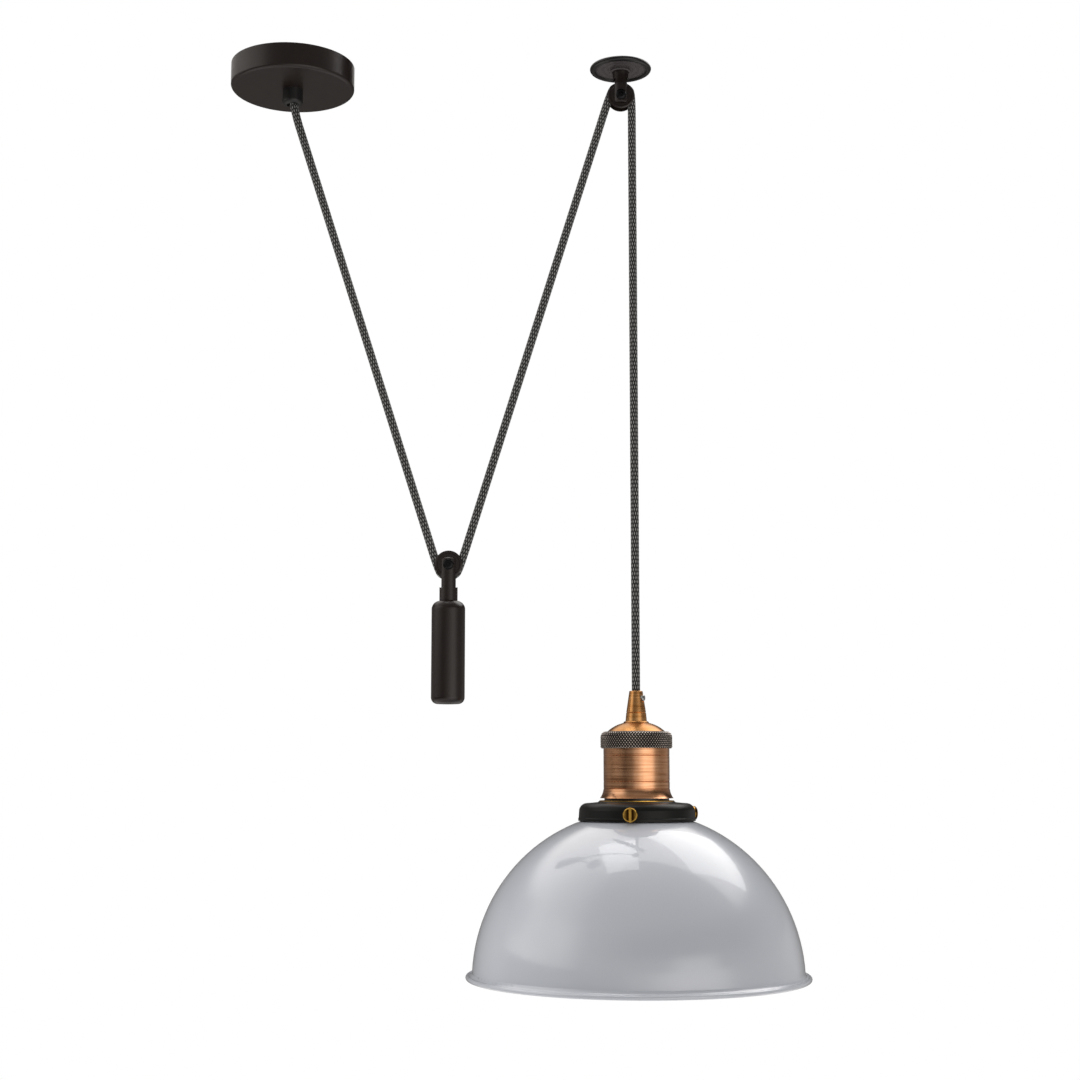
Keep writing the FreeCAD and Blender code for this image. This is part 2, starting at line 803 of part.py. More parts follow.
def gallery_screw(i):
    """Brass screw with a waisted neck and a dished head with a deep, wide slot."""
    origin, out = thumb_axis(i)
    face = 45.5
    screw = turned_on(
        origin, out,
        (THUMB_TIP, 0), (THUMB_TIP, THUMB_R - 0.4), (THUMB_TIP + 0.4, THUMB_R),
        (41.4, THUMB_R), (41.4, 3.4), (42.0, 3.4), (42.4, 2.8), (42.9, 4.6),
        (43.3, THUMB_HEAD_R), (44.9, THUMB_HEAD_R), (face, 4.6), (face, 4.25),
        (face - 0.35, 3.95), (face - 0.35, 0),
    )
    slot = block((43.3, -0.9, -8), (48, 0.9, 8))
    slot.rotate(V(0, 0, 0), UP, THUMB_FIRST + 120 * i)
    slot.translate(origin)
    return screw.cut(slot)


def shade_ring_nut():
    """Ring that clamps the gallery from inside, with four notches for a key."""
    top = GALLERY_TOP - 1.6
    ring = tube(LAMP_X, 25.5, BODY_R + 0.2, top - 5.0, top)
    for turn in range(0, 180, 90):
        notch = block((-30, -1.5, top - 5.5), (30, 1.5, top - 3.2))
        notch.rotate(V(0, 0, 0), UP, turn + 45)
        notch.translate(V(LAMP_X, 0, 0))
        ring = ring.cut(notch)
    return ring


def on_dome(radius, out):
    """The point of a dome of that radius, out from its axis."""
    return (out, SHADE_Z + math.sqrt(radius ** 2 - out ** 2))


def shade():
    """Spun dome: neck with a turned-out lip, hemisphere, flared edge rolled into a bead."""
    inside = SHADE_R - SHADE_T
    lip_top = -547.0
    lip = -548.0
    neck = 36.6
    foot = -658.0
    foot_out = math.sqrt(SHADE_R ** 2 - (foot - SHADE_Z) ** 2)
    foot_in = math.sqrt(inside ** 2 - (foot - SHADE_Z) ** 2)
    bead = RIM_R - BEAD_R
    return turned(
        LAMP_X,
        (neck - SHADE_T, lip_top),
        (38.0, lip_top),
        (38.0, lip),
        (neck, lip),
        (neck, -552.7),
        ((37.2, -554.0), on_dome(SHADE_R, 38.8)),
        (on_dome(SHADE_R, 86.0), (foot_out, foot)),
        ((foot_out + 0.75, foot - 1.6), (bead - 0.9, BEAD_Z + 1.4)),
        (bead, BEAD_Z + BEAD_R),
        ((RIM_R, BEAD_Z), (bead, BEAD_Z - BEAD_R)),
        ((bead - 1.13, BEAD_Z - 1.13), (bead - BEAD_R, BEAD_Z)),
        ((foot_in + 0.75, foot - 2.2), (foot_in, foot)),
        (on_dome(inside, 86.0), on_dome(inside, 38.4)),
        ((36.3, -554.4), (neck - SHADE_T, -552.7)),
    )


# ---- build --------------------------------------------------------------------------------

def build():
    os.makedirs("parts", exist_ok=True)

    save("rose_cup", rose_cup())
    save("rose_crossbar", rose_crossbar())
    save("rose_locknuts", rose_locknuts())
    save("rose_earth_screw", rose_earth_screw())
    save("rose_gland_collet", rose_gland_collet())
    save("rose_gland", rose_gland())
    save("rose_terminal_block", rose_terminal_block())
    save("rose_terminal_screws", rose_terminal_screws())
    save("rose_core_live", rose_core(-1.65, -0.95, BLOCK_POLES[0], "rose_core_live"))
    save("rose_core_earth", rose_core(0.0, 1.9, BLOCK_POLES[1], "rose_core_earth"))
    save("rose_core_neutral", rose_core(1.65, -0.95, BLOCK_POLES[2], "rose_core_neutral"))

    save("pulley_plate", pulley_plate())
    save("pulley_collar", pulley_collar())
    save("ceiling_fork", ceiling_fork())
    save("ceiling_sheave", sheave(PULLEY_X, PULLEY_Z))
    save("ceiling_bush", bush(PULLEY_X, PULLEY_Z, SLOT_W - 0.1))
    save("ceiling_axle", axle(PULLEY_X, PULLEY_Z))
    save("ceiling_axle_nut", axle_nut(PULLEY_X, PULLEY_Z))

    save("weight_sheave", sheave(WEIGHT_X, WEIGHT_Z))
    save("weight_bush", bush(WEIGHT_X, WEIGHT_Z, SLOT_W - 0.4))
    save("weight_axle", axle(WEIGHT_X, WEIGHT_Z))
    save("weight_axle_nut", axle_nut(WEIGHT_X, WEIGHT_Z))
    save("weight_fork", weight_fork())
    save("weight_body", weight_body())
    save("weight_screw", weight_screw())

    for name, points in flex_stretches():
        save(name, wire_solid(points, CORD_R, name))

    save("cord_grip", cord_grip())
    save("cord_grip_screw", cord_grip_screw())
    save("holder_nipple", holder_nipple())
    save("nipple_nut", nipple_nut())
    save("earth_tag", earth_tag())
    save("holder_cap", holder_cap())
    save("knurled_ring", knurled_ring())
    save("holder_shell", holder_shell())
    save("socket_insulator", socket_insulator())
    save("socket_screw_shell", socket_screw_shell())
    save("centre_contact", centre_contact())
    save("socket_terminals", socket_terminals())
    save("socket_terminal_screws", socket_terminal_screws())
    save("lamp_core_live", lamp_core(-1.5, 0.9, -TERMINAL_X, 0, DECK + 3.8, "lamp_core_live"))
    save("lamp_core_neutral", lamp_core(1.5, 0.9, TERMINAL_X, 0, DECK + 3.8, "lamp_core_neutral"))
    save("lamp_core_earth", lamp_core(0, -1.7, 0, -10.3, -498.0, "lamp_core_earth"))

    save("gallery_washer", gallery_washer())
    save("shade_gallery", shade_gallery())
    save("shade_ring_nut", shade_ring_nut())
    save("shade", shade())
    for i in range(3):
        save("gallery_screw_" + str(i + 1), gallery_screw(i))


build()
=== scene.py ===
# %% [markdown]
# # A rise and fall pendant
#
# One braided flex leaves a ceiling rose, runs down round the wheel of a counterweight, up over a
# pulley and down to a copper lampholder that carries a white dome. Pull the lamp down and the
# weight climbs. The bodies, wheels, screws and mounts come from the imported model, at their real
# size, and this lesson dresses them: it weaves the flex, cuts the knurl, rolls the socket's thread
# and gives each surface the finish that its real material has.

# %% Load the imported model
import math
import bpy
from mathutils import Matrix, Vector


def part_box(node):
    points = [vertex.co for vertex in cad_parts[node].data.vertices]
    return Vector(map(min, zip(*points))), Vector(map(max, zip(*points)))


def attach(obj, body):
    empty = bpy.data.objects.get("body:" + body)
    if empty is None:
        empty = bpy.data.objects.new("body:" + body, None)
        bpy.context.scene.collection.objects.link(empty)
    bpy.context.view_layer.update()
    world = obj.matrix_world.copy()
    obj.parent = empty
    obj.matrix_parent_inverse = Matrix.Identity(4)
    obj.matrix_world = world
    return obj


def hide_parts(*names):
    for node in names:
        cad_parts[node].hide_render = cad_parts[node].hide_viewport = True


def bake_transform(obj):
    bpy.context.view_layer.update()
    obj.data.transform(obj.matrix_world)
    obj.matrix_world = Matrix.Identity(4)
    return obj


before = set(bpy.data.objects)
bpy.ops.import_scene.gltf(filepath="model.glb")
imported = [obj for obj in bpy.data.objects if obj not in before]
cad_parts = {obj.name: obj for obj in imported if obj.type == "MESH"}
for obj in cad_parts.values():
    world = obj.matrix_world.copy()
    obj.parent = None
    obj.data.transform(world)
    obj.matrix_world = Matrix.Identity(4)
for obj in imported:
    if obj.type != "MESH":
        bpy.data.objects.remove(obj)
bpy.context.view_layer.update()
MM = 0.001

# %% [markdown]
# ## Where things are
#
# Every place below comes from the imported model's own boxes. The lamp hangs on one upright axis, so
# its X is worth keeping: the turned pieces are all made round it.

# %% Axes and levels
shade_low, shade_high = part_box("shade")
ring_low, ring_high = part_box("knurled_ring")
socket_low, socket_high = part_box("socket_screw_shell")
LAMP_X = (shade_low.x + shade_high.x) / 2
WEIGHT_X = sum(v.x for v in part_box("weight_body")) / 2
print("lamp axis at", round(LAMP_X, 4), "and weight axis at", round(WEIGHT_X, 4))
print("shade", round((shade_high.x - shade_low.x) / MM, 1), "mm wide")

# %% [markdown]
# ## The camera
#
# The photograph looks slightly up: the underside of the rose shows, and the rim of the shade bends
# down in front. A 58 mm lens, 1.25 m from the lamp and tilted up by 7.6 degrees, gives both, and
# puts the rose, the pulley and the lamp close to where the picture has them.

# %% Camera
CAMERA_PLACE = (0.1840, -1.2469, -0.5220)
CAMERA_TILT = 7.6
LENS, SENSOR = 58.33, 36
camera = bpy.data.cameras.new("camera")
camera.lens = LENS
camera.sensor_width = SENSOR
camera_object = bpy.data.objects.new("camera", camera)
camera_object.location = CAMERA_PLACE
camera_object.rotation_euler = (math.radians(90 + CAMERA_TILT), 0, 0)
bpy.context.scene.collection.objects.link(camera_object)
bpy.context.scene.camera = camera_object
bpy.context.scene.view_settings.view_transform = "Standard"
print("camera", CAMERA_PLACE, "lens", camera.lens)

# %% [markdown]
# ## Helpers for materials
#
# Colours are easiest to read as the hex codes of a colour picker, which are sRGB. The shader works
# in linear light, so one function converts them. A second one adds a node, sets its values and
# makes its links, so that each recipe below reads as a short list.

# %% Colour and node helpers
def linear(code):
    """An sRGB hex code as linear red, green, blue and alpha."""
    channels = []
    for i in (1, 3, 5):
        value = int(code[i:i + 2], 16) / 255
        channels.append(value / 12.92 if value <= 0.04045 else ((value + 0.055) / 1.055) ** 2.4)
    return (*channels, 1.0)


def add(tree, kind, settings=None, links=None):
    """A node with its settings and its incoming links, each by the name or number of a socket."""
    made = tree.nodes.new(kind)
    for key, value in (settings or {}).items():
        if isinstance(key, int) or key in made.inputs:
            made.inputs[key].default_value = value
        else:
            setattr(made, key, value)
    for key, source in (links or {}).items():
        tree.links.new(source, made.inputs[key])
    return made


def start_material(name, **values):
    """A new material, its tree and its shader, with constants set on the shader's own sockets."""
    made = bpy.data.materials.new(name)
    made.use_nodes = True
    shader = made.node_tree.nodes["Principled BSDF"]
    for key, value in values.items():
        shader.inputs[key.replace("_", " ").title().replace("Ior", "IOR")].default_value = value
    return made, made.node_tree, shader


def dress(made, slot, *nodes):
    """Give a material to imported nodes."""
    for name in nodes:
        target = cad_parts[name]
        target.data.materials.clear()
        target.data.materials.append(made)


print("white is", [round(v, 3) for v in linear("#ffffff")])

# %% [markdown]
# ## Powder coat on steel
#
# The rose, the forks, the wheels and the weight are steel with a polyester powder coat, sprayed dry
# and baked until it flows. It gives the eye a dark brown, almost black body colour, a broad soft
# highlight and an orange-peel skin. Real grains are perhaps 0.4 mm across; here they are 0.9 mm,
# so that they show. The IOR is the resin's, 1.5, but the powder's matting agent scatters part of
# what the surface would mirror, so the specular level is lower than a clear coat's.

# %% Material: bronze powder coat
GRAIN, GRAIN_DEPTH = 0.9 * MM, 0.12 * MM
COAT_CLOUD = 14 * MM


def powder_coat(name, dark, light, roughness, level):
    made, tree, shader = start_material(
        name, roughness=roughness, ior=1.5, specular_ior_level=level
    )
    place = add(tree, "ShaderNodeTexCoord")
    peel = add(
        tree, "ShaderNodeTexNoise", {"Scale": 1 / GRAIN, "Detail": 2.0, "Roughness": 0.6},
        {"Vector": place.outputs["Object"]},
    )
    cloud = add(
        tree, "ShaderNodeTexNoise", {"Scale": 1 / COAT_CLOUD, "Detail": 3.0},
        {"Vector": place.outputs["Object"]},
    )
    tint = add(
        tree, "ShaderNodeMix",
        {"data_type": "RGBA", 6: linear(dark), 7: linear(light)}, {0: cloud.outputs["Fac"]},
    )
    tree.links.new(tint.outputs[2], shader.inputs["Base Color"])
    skin = add(
        tree, "ShaderNodeBump", {"Strength": 0.5, "Distance": GRAIN_DEPTH},
        {"Height": peel.outputs["Fac"]},
    )
    tree.links.new(skin.outputs["Normal"], shader.inputs["Normal"])
    return made


bronze_coat = powder_coat("polyester powder coat, bronze, baked", "#1d1512", "#291e1a", 0.3, 0.4)
dress(bronze_coat, "rose_powder_coat", "rose_cup", "ceiling_fork", "weight_fork", "weight_body")
dress(bronze_coat, "sheave_powder_coat", "ceiling_sheave", "weight_sheave")
print(bronze_coat.name, "grain", GRAIN / MM, "mm")

# %% [markdown]
# ## Enamel on the pulley's plate
#
# The little plate under the ceiling is pressed steel with black stoving enamel. It is smoother than
# the powder coat, so its rim carries a sharper highlight, and faint polishing rings run round the
# stem on the flat underside. The photograph shows that flat web greyer than the rim, so out to
# 17.5 mm from the axis the paint is lighter: a painted reflection of the pale floor below. The rings
# are drawn 4.4 mm apart, far coarser than the real ones, so that they still show at arm's length.
# The wave texture turns through 20 radians in every unit, so its scale is set by the length of one
# radian, 0.7 mm.

# %% Material: black stoving enamel
WEB_R, WEB_EDGE = 17.5 * MM, 1.5 * MM
POLISH_RADIAN = 0.7 * MM
WAVE_RADIANS = 20


def from_axis(tree, x):
    """How far a place is from an upright axis at x, in metres."""
    place = add(tree, "ShaderNodeTexCoord")
    moved = add(
        tree, "ShaderNodeVectorMath", {"operation": "SUBTRACT", 1: (x, 0, 0)},
        {0: place.outputs["Object"]},
    )
    flat = add(
        tree, "ShaderNodeVectorMath", {"operation": "MULTIPLY", 1: (1, 1, 0)}, {0: moved.outputs[0]}
    )
    return add(
        tree, "ShaderNodeVectorMath", {"operation": "LENGTH"}, {0: flat.outputs[0]}
    ).outputs["Value"]


def stoving_enamel():
    made, tree, shader = start_material(
        "stoving enamel, black, on pressed steel", ior=1.5, specular_ior_level=0.4
    )
    place = add(tree, "ShaderNodeTexCoord")
    plate_low, plate_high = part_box("pulley_plate")
    centre = (plate_low + plate_high) / 2
    centred = add(
        tree, "ShaderNodeVectorMath", {"operation": "SUBTRACT", 1: (centre.x, 0, 0)},
        {0: place.outputs["Object"]},
    )
    rings = add(
        tree, "ShaderNodeTexWave",
        {"wave_type": "RINGS", "rings_direction": "Z", "Scale": 1 / POLISH_RADIAN / WAVE_RADIANS,
         "Distortion": 0.6, "Detail": 1.0},
        {"Vector": centred.outputs[0]},
    )
    shine = add(
        tree, "ShaderNodeMapRange", {"To Min": 0.2, "To Max": 0.36},
        {"Value": rings.outputs["Fac"]},
    )
    tree.links.new(shine.outputs[0], shader.inputs["Roughness"])
    soot = add(
        tree, "ShaderNodeMix",
        {"data_type": "RGBA", 6: linear("#141313"), 7: linear("#1e1c1c")},
        {0: rings.outputs["Fac"]},
    )
    # Out to 17.5 mm from the axis the paint turns greyer: a painted reflection of the pale floor
    # below.
    web = add(
        tree, "ShaderNodeMapRange",
        {"From Min": WEB_R, "From Max": WEB_R + WEB_EDGE, "To Min": 0.85, "To Max": 0.0},
        {"Value": from_axis(tree, centre.x)},
    )
    web_painted_reflection = add(
        tree, "ShaderNodeMix", {"data_type": "RGBA", 7: linear("#575051")},
        {0: web.outputs[0], 6: soot.outputs[2]},
    )
    tree.links.new(web_painted_reflection.outputs[2], shader.inputs["Base Color"])
    relief = add(
        tree, "ShaderNodeBump", {"Strength": 0.15, "Distance": 0.05 * MM},
        {"Height": rings.outputs["Fac"]},
    )
    tree.links.new(relief.outputs["Normal"], shader.inputs["Normal"])
    return made


enamel = stoving_enamel()
dress(enamel, "black_gloss_paint", "pulley_plate", "pulley_collar")
print(enamel.name)

# %% [markdown]
# ## Steel: black oxide and zinc
#
# Axle screws are steel dipped in a hot black-oxide bath: a thin dark skin that still reflects like
# metal. Hidden hardware and the cone's grub screw are zinc plated, a pale grey metal with a faint
# cloudy bloom. Both keep the default IOR, as metals do here, and get their look from the base colour
# and roughness.

# %% Materials: black-oxide steel and zinc plate
def plated_steel(name, dark, light, low, high, spot):
    made, tree, shader = start_material(name, metallic=1.0)
    place = add(tree, "ShaderNodeTexCoord")
    bloom = add(
        tree, "ShaderNodeTexNoise", {"Scale": 1 / spot, "Detail": 4.0},
        {"Vector": place.outputs["Object"]},
    )
    tint = add(
        tree, "ShaderNodeMix", {"data_type": "RGBA", 6: linear(dark), 7: linear(light)},
        {0: bloom.outputs["Fac"]},
    )
    shine = add(
        tree, "ShaderNodeMapRange", {"To Min": low, "To Max": high},
        {"Value": bloom.outputs["Fac"]},
    )
    tree.links.new(tint.outputs[2], shader.inputs["Base Color"])
    tree.links.new(shine.outputs[0], shader.inputs["Roughness"])
    return made


black_oxide = plated_steel("steel, black oxide", "#1b1b1c", "#303031", 0.3, 0.45, 1.2 * MM)
zinc = plated_steel("steel, zinc plated", "#8f9190", "#b9bbb9", 0.25, 0.45, 2.5 * MM)
dress(black_oxide, "black_oxide_steel", "ceiling_axle", "ceiling_axle_nut", "weight_axle",
      "weight_axle_nut", "weight_screw")
dress(zinc, "zinc_steel", "rose_crossbar", "rose_locknuts", "rose_earth_screw", "holder_nipple",
      "nipple_nut", "cord_grip_screw")
print(black_oxide.name, "and", zinc.name)

# %% [markdown]
# ## Brushed antique copper
#
# The grip, cap and shell are turned brass, copper plated, darkened in a bath and brushed back on the
# lathe. The brush leaves fine rings round the axis. Such rings spread a reflection along the axis
# and keep it sharp across it, so a window turns into an upright stripe on the shell: that is what
# the anisotropic setting does. The tangent runs round the axis, and a quarter turn of it points the
# blur up and down. Real rings are perhaps 0.1 mm apart; here they are 1.2 mm, so that some show.
# Where the brush went lightly, the dark patina stays.

# %% Material: brushed antique copper
RING_GAP = 1.2 * MM
ACROSS_RINGS = 25.0
STAIN = 16 * MM
ALONG_AXIS = 0.25


def brushed_copper(name, patina, metal, bright, roughness):
    made, tree, shader = start_material(
        name, metallic=1.0, anisotropic=0.6, anisotropic_rotation=ALONG_AXIS
    )
    place = add(tree, "ShaderNodeTexCoord")
    fine = add(
        tree, "ShaderNodeMapping", {"Scale": (ACROSS_RINGS, ACROSS_RINGS, 1 / RING_GAP)},
        {"Vector": place.outputs["Object"]},
    )
    rings = add(
        tree, "ShaderNodeTexNoise", {"Scale": 1.0, "Detail": 2.0, "Roughness": 0.55},
        {"Vector": fine.outputs[0]},
    )
    worn = add(tree, "ShaderNodeValToRGB", None, {"Fac": rings.outputs["Fac"]})
    worn.color_ramp.elements[0].position = 0.26
    worn.color_ramp.elements[0].color = linear(patina)
    worn.color_ramp.elements[1].position = 0.68
    worn.color_ramp.elements[1].color = linear(bright)
    middle = worn.color_ramp.elements.new(0.42)
    middle.color = linear(metal)
    cloud = add(
        tree, "ShaderNodeTexNoise", {"Scale": 1 / STAIN, "Detail": 2.0, "Distortion": 0.6},
        {"Vector": place.outputs["Object"]},
    )
    dull = add(
        tree, "ShaderNodeMapRange", {"From Min": 0.5, "From Max": 0.72, "To Max": 0.4},
        {"Value": cloud.outputs["Fac"]},
    )
    stained = add(
        tree, "ShaderNodeMix", {"data_type": "RGBA", 7: linear(patina)},
        {0: dull.outputs[0], 6: worn.outputs["Color"]},
    )
    shine = add(
        tree, "ShaderNodeMapRange", {"To Min": roughness - 0.05, "To Max": roughness + 0.07},
        {"Value": rings.outputs["Fac"]},
    )
    relief = add(
        tree, "ShaderNodeBump", {"Strength": 0.1, "Distance": 0.03 * MM},
        {"Height": rings.outputs["Fac"]},
    )
    around = add(tree, "ShaderNodeTangent", {"direction_type": "RADIAL", "axis": "Z"})
    tree.links.new(stained.outputs[2], shader.inputs["Base Color"])
    tree.links.new(shine.outputs[0], shader.inputs["Roughness"])
    tree.links.new(relief.outputs["Normal"], shader.inputs["Normal"])
    tree.links.new(around.outputs[0], shader.inputs["Tangent"])
    return made


shell_copper = brushed_copper(
    "antique copper plate, brushed, pink", "#9a6a48", "#d0986f", "#e4b18a", 0.22
)
cone_copper = brushed_copper(
    "antique copper plate, brushed, golden", "#b4773e", "#cf9458", "#dfa96e", 0.26
)
# The cap wears the same plating as the shell, painted darker: a painted shade that keeps the
# window's highlight off the cap.
cap_copper_painted_shade = brushed_copper(
    "antique copper plate, brushed, painted darker as shade", "#7c4c26", "#b07a46", "#c69258", 0.3
)
dress(shell_copper, "antique_copper", "holder_shell")
dress(cone_copper, "antique_copper", "cord_grip")
dress(cap_copper_painted_shade, "antique_copper", "holder_cap")
print(shell_copper.name, "and", cone_copper.name, "and", cap_copper_painted_shade.name)

# %% [markdown]
# ## Pewter plate and brass
#
# The knurled ring is brass under a dull grey-brown pewter plate, dark in the grooves, where tarnish
# stays. Bare brass is on the washer, the contacts, the terminals and the bushes: turned, a little
# tarnished, gold in the light.

# %% Materials: pewter and brass
def old_metal(name, dark, light, low, high, spot):
    made, tree, shader = start_material(name, metallic=1.0)
    place = add(tree, "ShaderNodeTexCoord")
    stain = add(
        tree, "ShaderNodeTexNoise", {"Scale": 1 / spot, "Detail": 3.0, "Roughness": 0.65},
        {"Vector": place.outputs["Object"]},
    )
    tint = add(
        tree, "ShaderNodeMix", {"data_type": "RGBA", 6: linear(dark), 7: linear(light)},
        {0: stain.outputs["Fac"]},
    )
    shine = add(
        tree, "ShaderNodeMapRange", {"To Min": low, "To Max": high},
        {"Value": stain.outputs["Fac"]},
    )
    relief = add(
        tree, "ShaderNodeBump", {"Strength": 0.1, "Distance": 0.03 * MM},
        {"Height": stain.outputs["Fac"]},
    )
    tree.links.new(tint.outputs[2], shader.inputs["Base Color"])
    tree.links.new(shine.outputs[0], shader.inputs["Roughness"])
    tree.links.new(relief.outputs["Normal"], shader.inputs["Normal"])
    return made


pewter = old_metal("pewter plate on brass, tarnished", "#8f857e", "#cfc6bd", 0.2, 0.34, 1.5 * MM)
plate_tree = pewter.node_tree
plate_shader = plate_tree.nodes["Principled BSDF"]
depth = add(plate_tree, "ShaderNodeAttribute", {"attribute_name": "cut_depth"})
groove = add(
    plate_tree, "ShaderNodeMapRange", {"From Min": 0.14, "From Max": 0.46},
    {"Value": depth.outputs["Fac"]},
)
tarnish = add(
    plate_tree, "ShaderNodeMix", {"data_type": "RGBA", 7: linear("#17120f")},
    {0: groove.outputs[0], 6: plate_shader.inputs["Base Color"].links[0].from_socket},
)
plate_tree.links.new(tarnish.outputs[2], plate_shader.inputs["Base Color"])
brass = old_metal("brass, turned and lightly tarnished", "#a87424", "#e8bd5c", 0.18, 0.34, 1.8 * MM)
dress(brass, "brass", "ceiling_bush", "weight_bush", "gallery_washer", "centre_contact",
      "socket_terminals", "socket_terminal_screws", "rose_terminal_screws", "earth_tag")
print(pewter.name, "and", brass.name)

# %% [markdown]
# ## Thumbed brass
#
# Fingers polish the rim of a thumb screw and the screwdriver scours its slot, while the dished face
# between them keeps its brown tarnish. The face, the rim and the slot's floor are at three
# distances from the lamp's axis, so that distance picks the tone, on all three screws at once.

# %% Material: thumbed brass
FACE_OUT, RIM_IN, SLOT_FLOOR = 45.2 * MM, 45.42 * MM, 43.6 * MM
FLOOR_EDGE = 0.2 * MM
thumbed = old_metal("brass, polished by fingers", "#c99235", "#f3cd6c", 0.16, 0.3, 1.8 * MM)
thumb_tree = thumbed.node_tree
thumb_shader = thumb_tree.nodes["Principled BSDF"]
distance = from_axis(thumb_tree, LAMP_X)
inside_rim = add(
    thumb_tree, "ShaderNodeMapRange",
    {"From Min": FACE_OUT, "From Max": RIM_IN, "To Min": 1.0, "To Max": 0.0}, {"Value": distance},
)
above_slot = add(
    thumb_tree, "ShaderNodeMapRange",
    {"From Min": SLOT_FLOOR, "From Max": SLOT_FLOOR + FLOOR_EDGE}, {"Value": distance},
)
face = add(
    thumb_tree, "ShaderNodeMath", {"operation": "MULTIPLY"},
    {0: inside_rim.outputs[0], 1: above_slot.outputs[0]},
)
aged = add(
    thumb_tree, "ShaderNodeMix", {"data_type": "RGBA", 7: linear("#3d270b")},
    {0: face.outputs[0], 6: thumb_shader.inputs["Base Color"].links[0].from_socket},
)
thumb_tree.links.new(aged.outputs[2], thumb_shader.inputs["Base Color"])
dress(thumbed, "brass", "gallery_screw_1", "gallery_screw_2", "gallery_screw_3")
print(thumbed.name)

# %% [markdown]
# ## Small plastics
#
# The lampholder's inner body and the ring nut are phenolic mouldings, near black with a soft shine.
# The gland is black nylon, duller still, and the wires wear PVC in the usual three colours.

# %% Materials: phenolic, nylon and wire insulation
def moulding(name, dark, light, roughness, spot, relief_depth):
    made, tree, shader = start_material(name, roughness=roughness, ior=1.5)
    place = add(tree, "ShaderNodeTexCoord")
    flow = add(
        tree, "ShaderNodeTexNoise", {"Scale": 1 / spot, "Detail": 3.0},
        {"Vector": place.outputs["Object"]},
    )
    tint = add(
        tree, "ShaderNodeMix", {"data_type": "RGBA", 6: linear(dark), 7: linear(light)},
        {0: flow.outputs["Fac"]},
    )
    skin = add(
        tree, "ShaderNodeBump", {"Strength": 0.2, "Distance": relief_depth},
        {"Height": flow.outputs["Fac"]},
    )
    tree.links.new(tint.outputs[2], shader.inputs["Base Color"])
    tree.links.new(skin.outputs["Normal"], shader.inputs["Normal"])
    return made


phenolic = moulding("phenolic, moulded, black", "#121110", "#1f1c1a", 0.3, 3 * MM, 0.03 * MM)
black_nylon = moulding("nylon 66, moulded, black", "#0d0d0d", "#191919", 0.45, 0.6 * MM, 0.04 * MM)
white_nylon = moulding("nylon 66, moulded, natural", "#d9d6cb", "#e8e6de", 0.4, 1 * MM, 0.04 * MM)
dress(phenolic, "bakelite", "socket_insulator", "shade_ring_nut")
dress(black_nylon, "black_nylon", "rose_gland", "rose_gland_collet")
dress(white_nylon, "white_nylon", "rose_terminal_block")
for wire, dark, light in (
    ("live", "#47250f", "#5a3219"),
    ("neutral", "#1f4f94", "#2a61ab"),
    ("earth", "#5d8a1c", "#a9b52a"),
):
    insulation = moulding("PVC, extruded, " + wire, dark, light, 0.4, 2 * MM, 0.02 * MM)
    dress(insulation, wire + "_core", "rose_core_" + wire, "lamp_core_" + wire)
print("mouldings and insulation done")

# %% [markdown]
# ## Satin black on the gallery
#
# The shade's holder is spun steel with a satin black stoved paint. Spinning leaves faint rings on
# it, which are not drawn here, and the satin finish spreads the light of the shoulder into a soft
# grey band.

# %% Material: satin black paint
satin_black = powder_coat("stoved satin paint, black", "#121211", "#1c1c1b", 0.36, 0.2)
dress(satin_black, "satin_black_paint", "shade_gallery")
print(satin_black.name)

# %% [markdown]
# ## White lacquer on the dome
#
# The dome is spun aluminium with a gloss white polyester lacquer, inside and out. White paint is
# never pure white: at about 80 per cent it keeps its shape in shadow. The clear coat on top gives
# the sharp, curved image of the window, and a slow waviness of the sheet, some 40 mm from crest to
# crest, bends that image a little.

# %% Material: white lacquer
SHEET_WAVE, SHEET_DEPTH = 40 * MM, 1.2 * MM
LACQUER_PEEL, LACQUER_DEPTH = 1.6 * MM, 0.03 * MM


def white_lacquer():
    made, tree, shader = start_material(
        "polyester lacquer, gloss white, on spun aluminium", roughness=0.3, ior=1.5,
        coat_weight=1.0, coat_roughness=0.05, coat_ior=1.6,
    )
    place = add(tree, "ShaderNodeTexCoord")
    sheet = add(
        tree, "ShaderNodeTexNoise", {"Scale": 1 / SHEET_WAVE, "Detail": 0.0},
        {"Vector": place.outputs["Object"]},
    )
    tint = add(
        tree, "ShaderNodeMix",
        {"data_type": "RGBA", 6: linear("#dfe2ea"), 7: linear("#e5e8ef")},
        {0: sheet.outputs["Fac"]},
    )
    peel = add(
        tree, "ShaderNodeTexNoise", {"Scale": 1 / LACQUER_PEEL, "Detail": 1.0},
        {"Vector": place.outputs["Object"]},
    )
    wave = add(
        tree, "ShaderNodeBump", {"Strength": 0.25, "Distance": SHEET_DEPTH},
        {"Height": sheet.outputs["Fac"]},
    )
    skin = add(
        tree, "ShaderNodeBump", {"Strength": 0.06, "Distance": LACQUER_DEPTH},
        {"Height": peel.outputs["Fac"], "Normal": wave.outputs["Normal"]},
    )
    tree.links.new(tint.outputs[2], shader.inputs["Base Color"])
    tree.links.new(skin.outputs["Normal"], shader.inputs["Normal"])
    tree.links.new(skin.outputs["Normal"], shader.inputs["Coat Normal"])
    return made


lacquer = white_lacquer()
dress(lacquer, "white_lacquer", "shade")
print(lacquer.name)

# %% [markdown]
# ## The flex's route
#
# The flex is pulled tight by the weight and the lamp, so its line is straight runs that meet the
# wheels at a tangent. These are the corners of that line, in millimetres, in the plane of the two
# wheels, with one more point on each long run near its wheel. A quadratic NURBS touches each
# side of the polygon at its middle, so round a wheel it follows the groove.

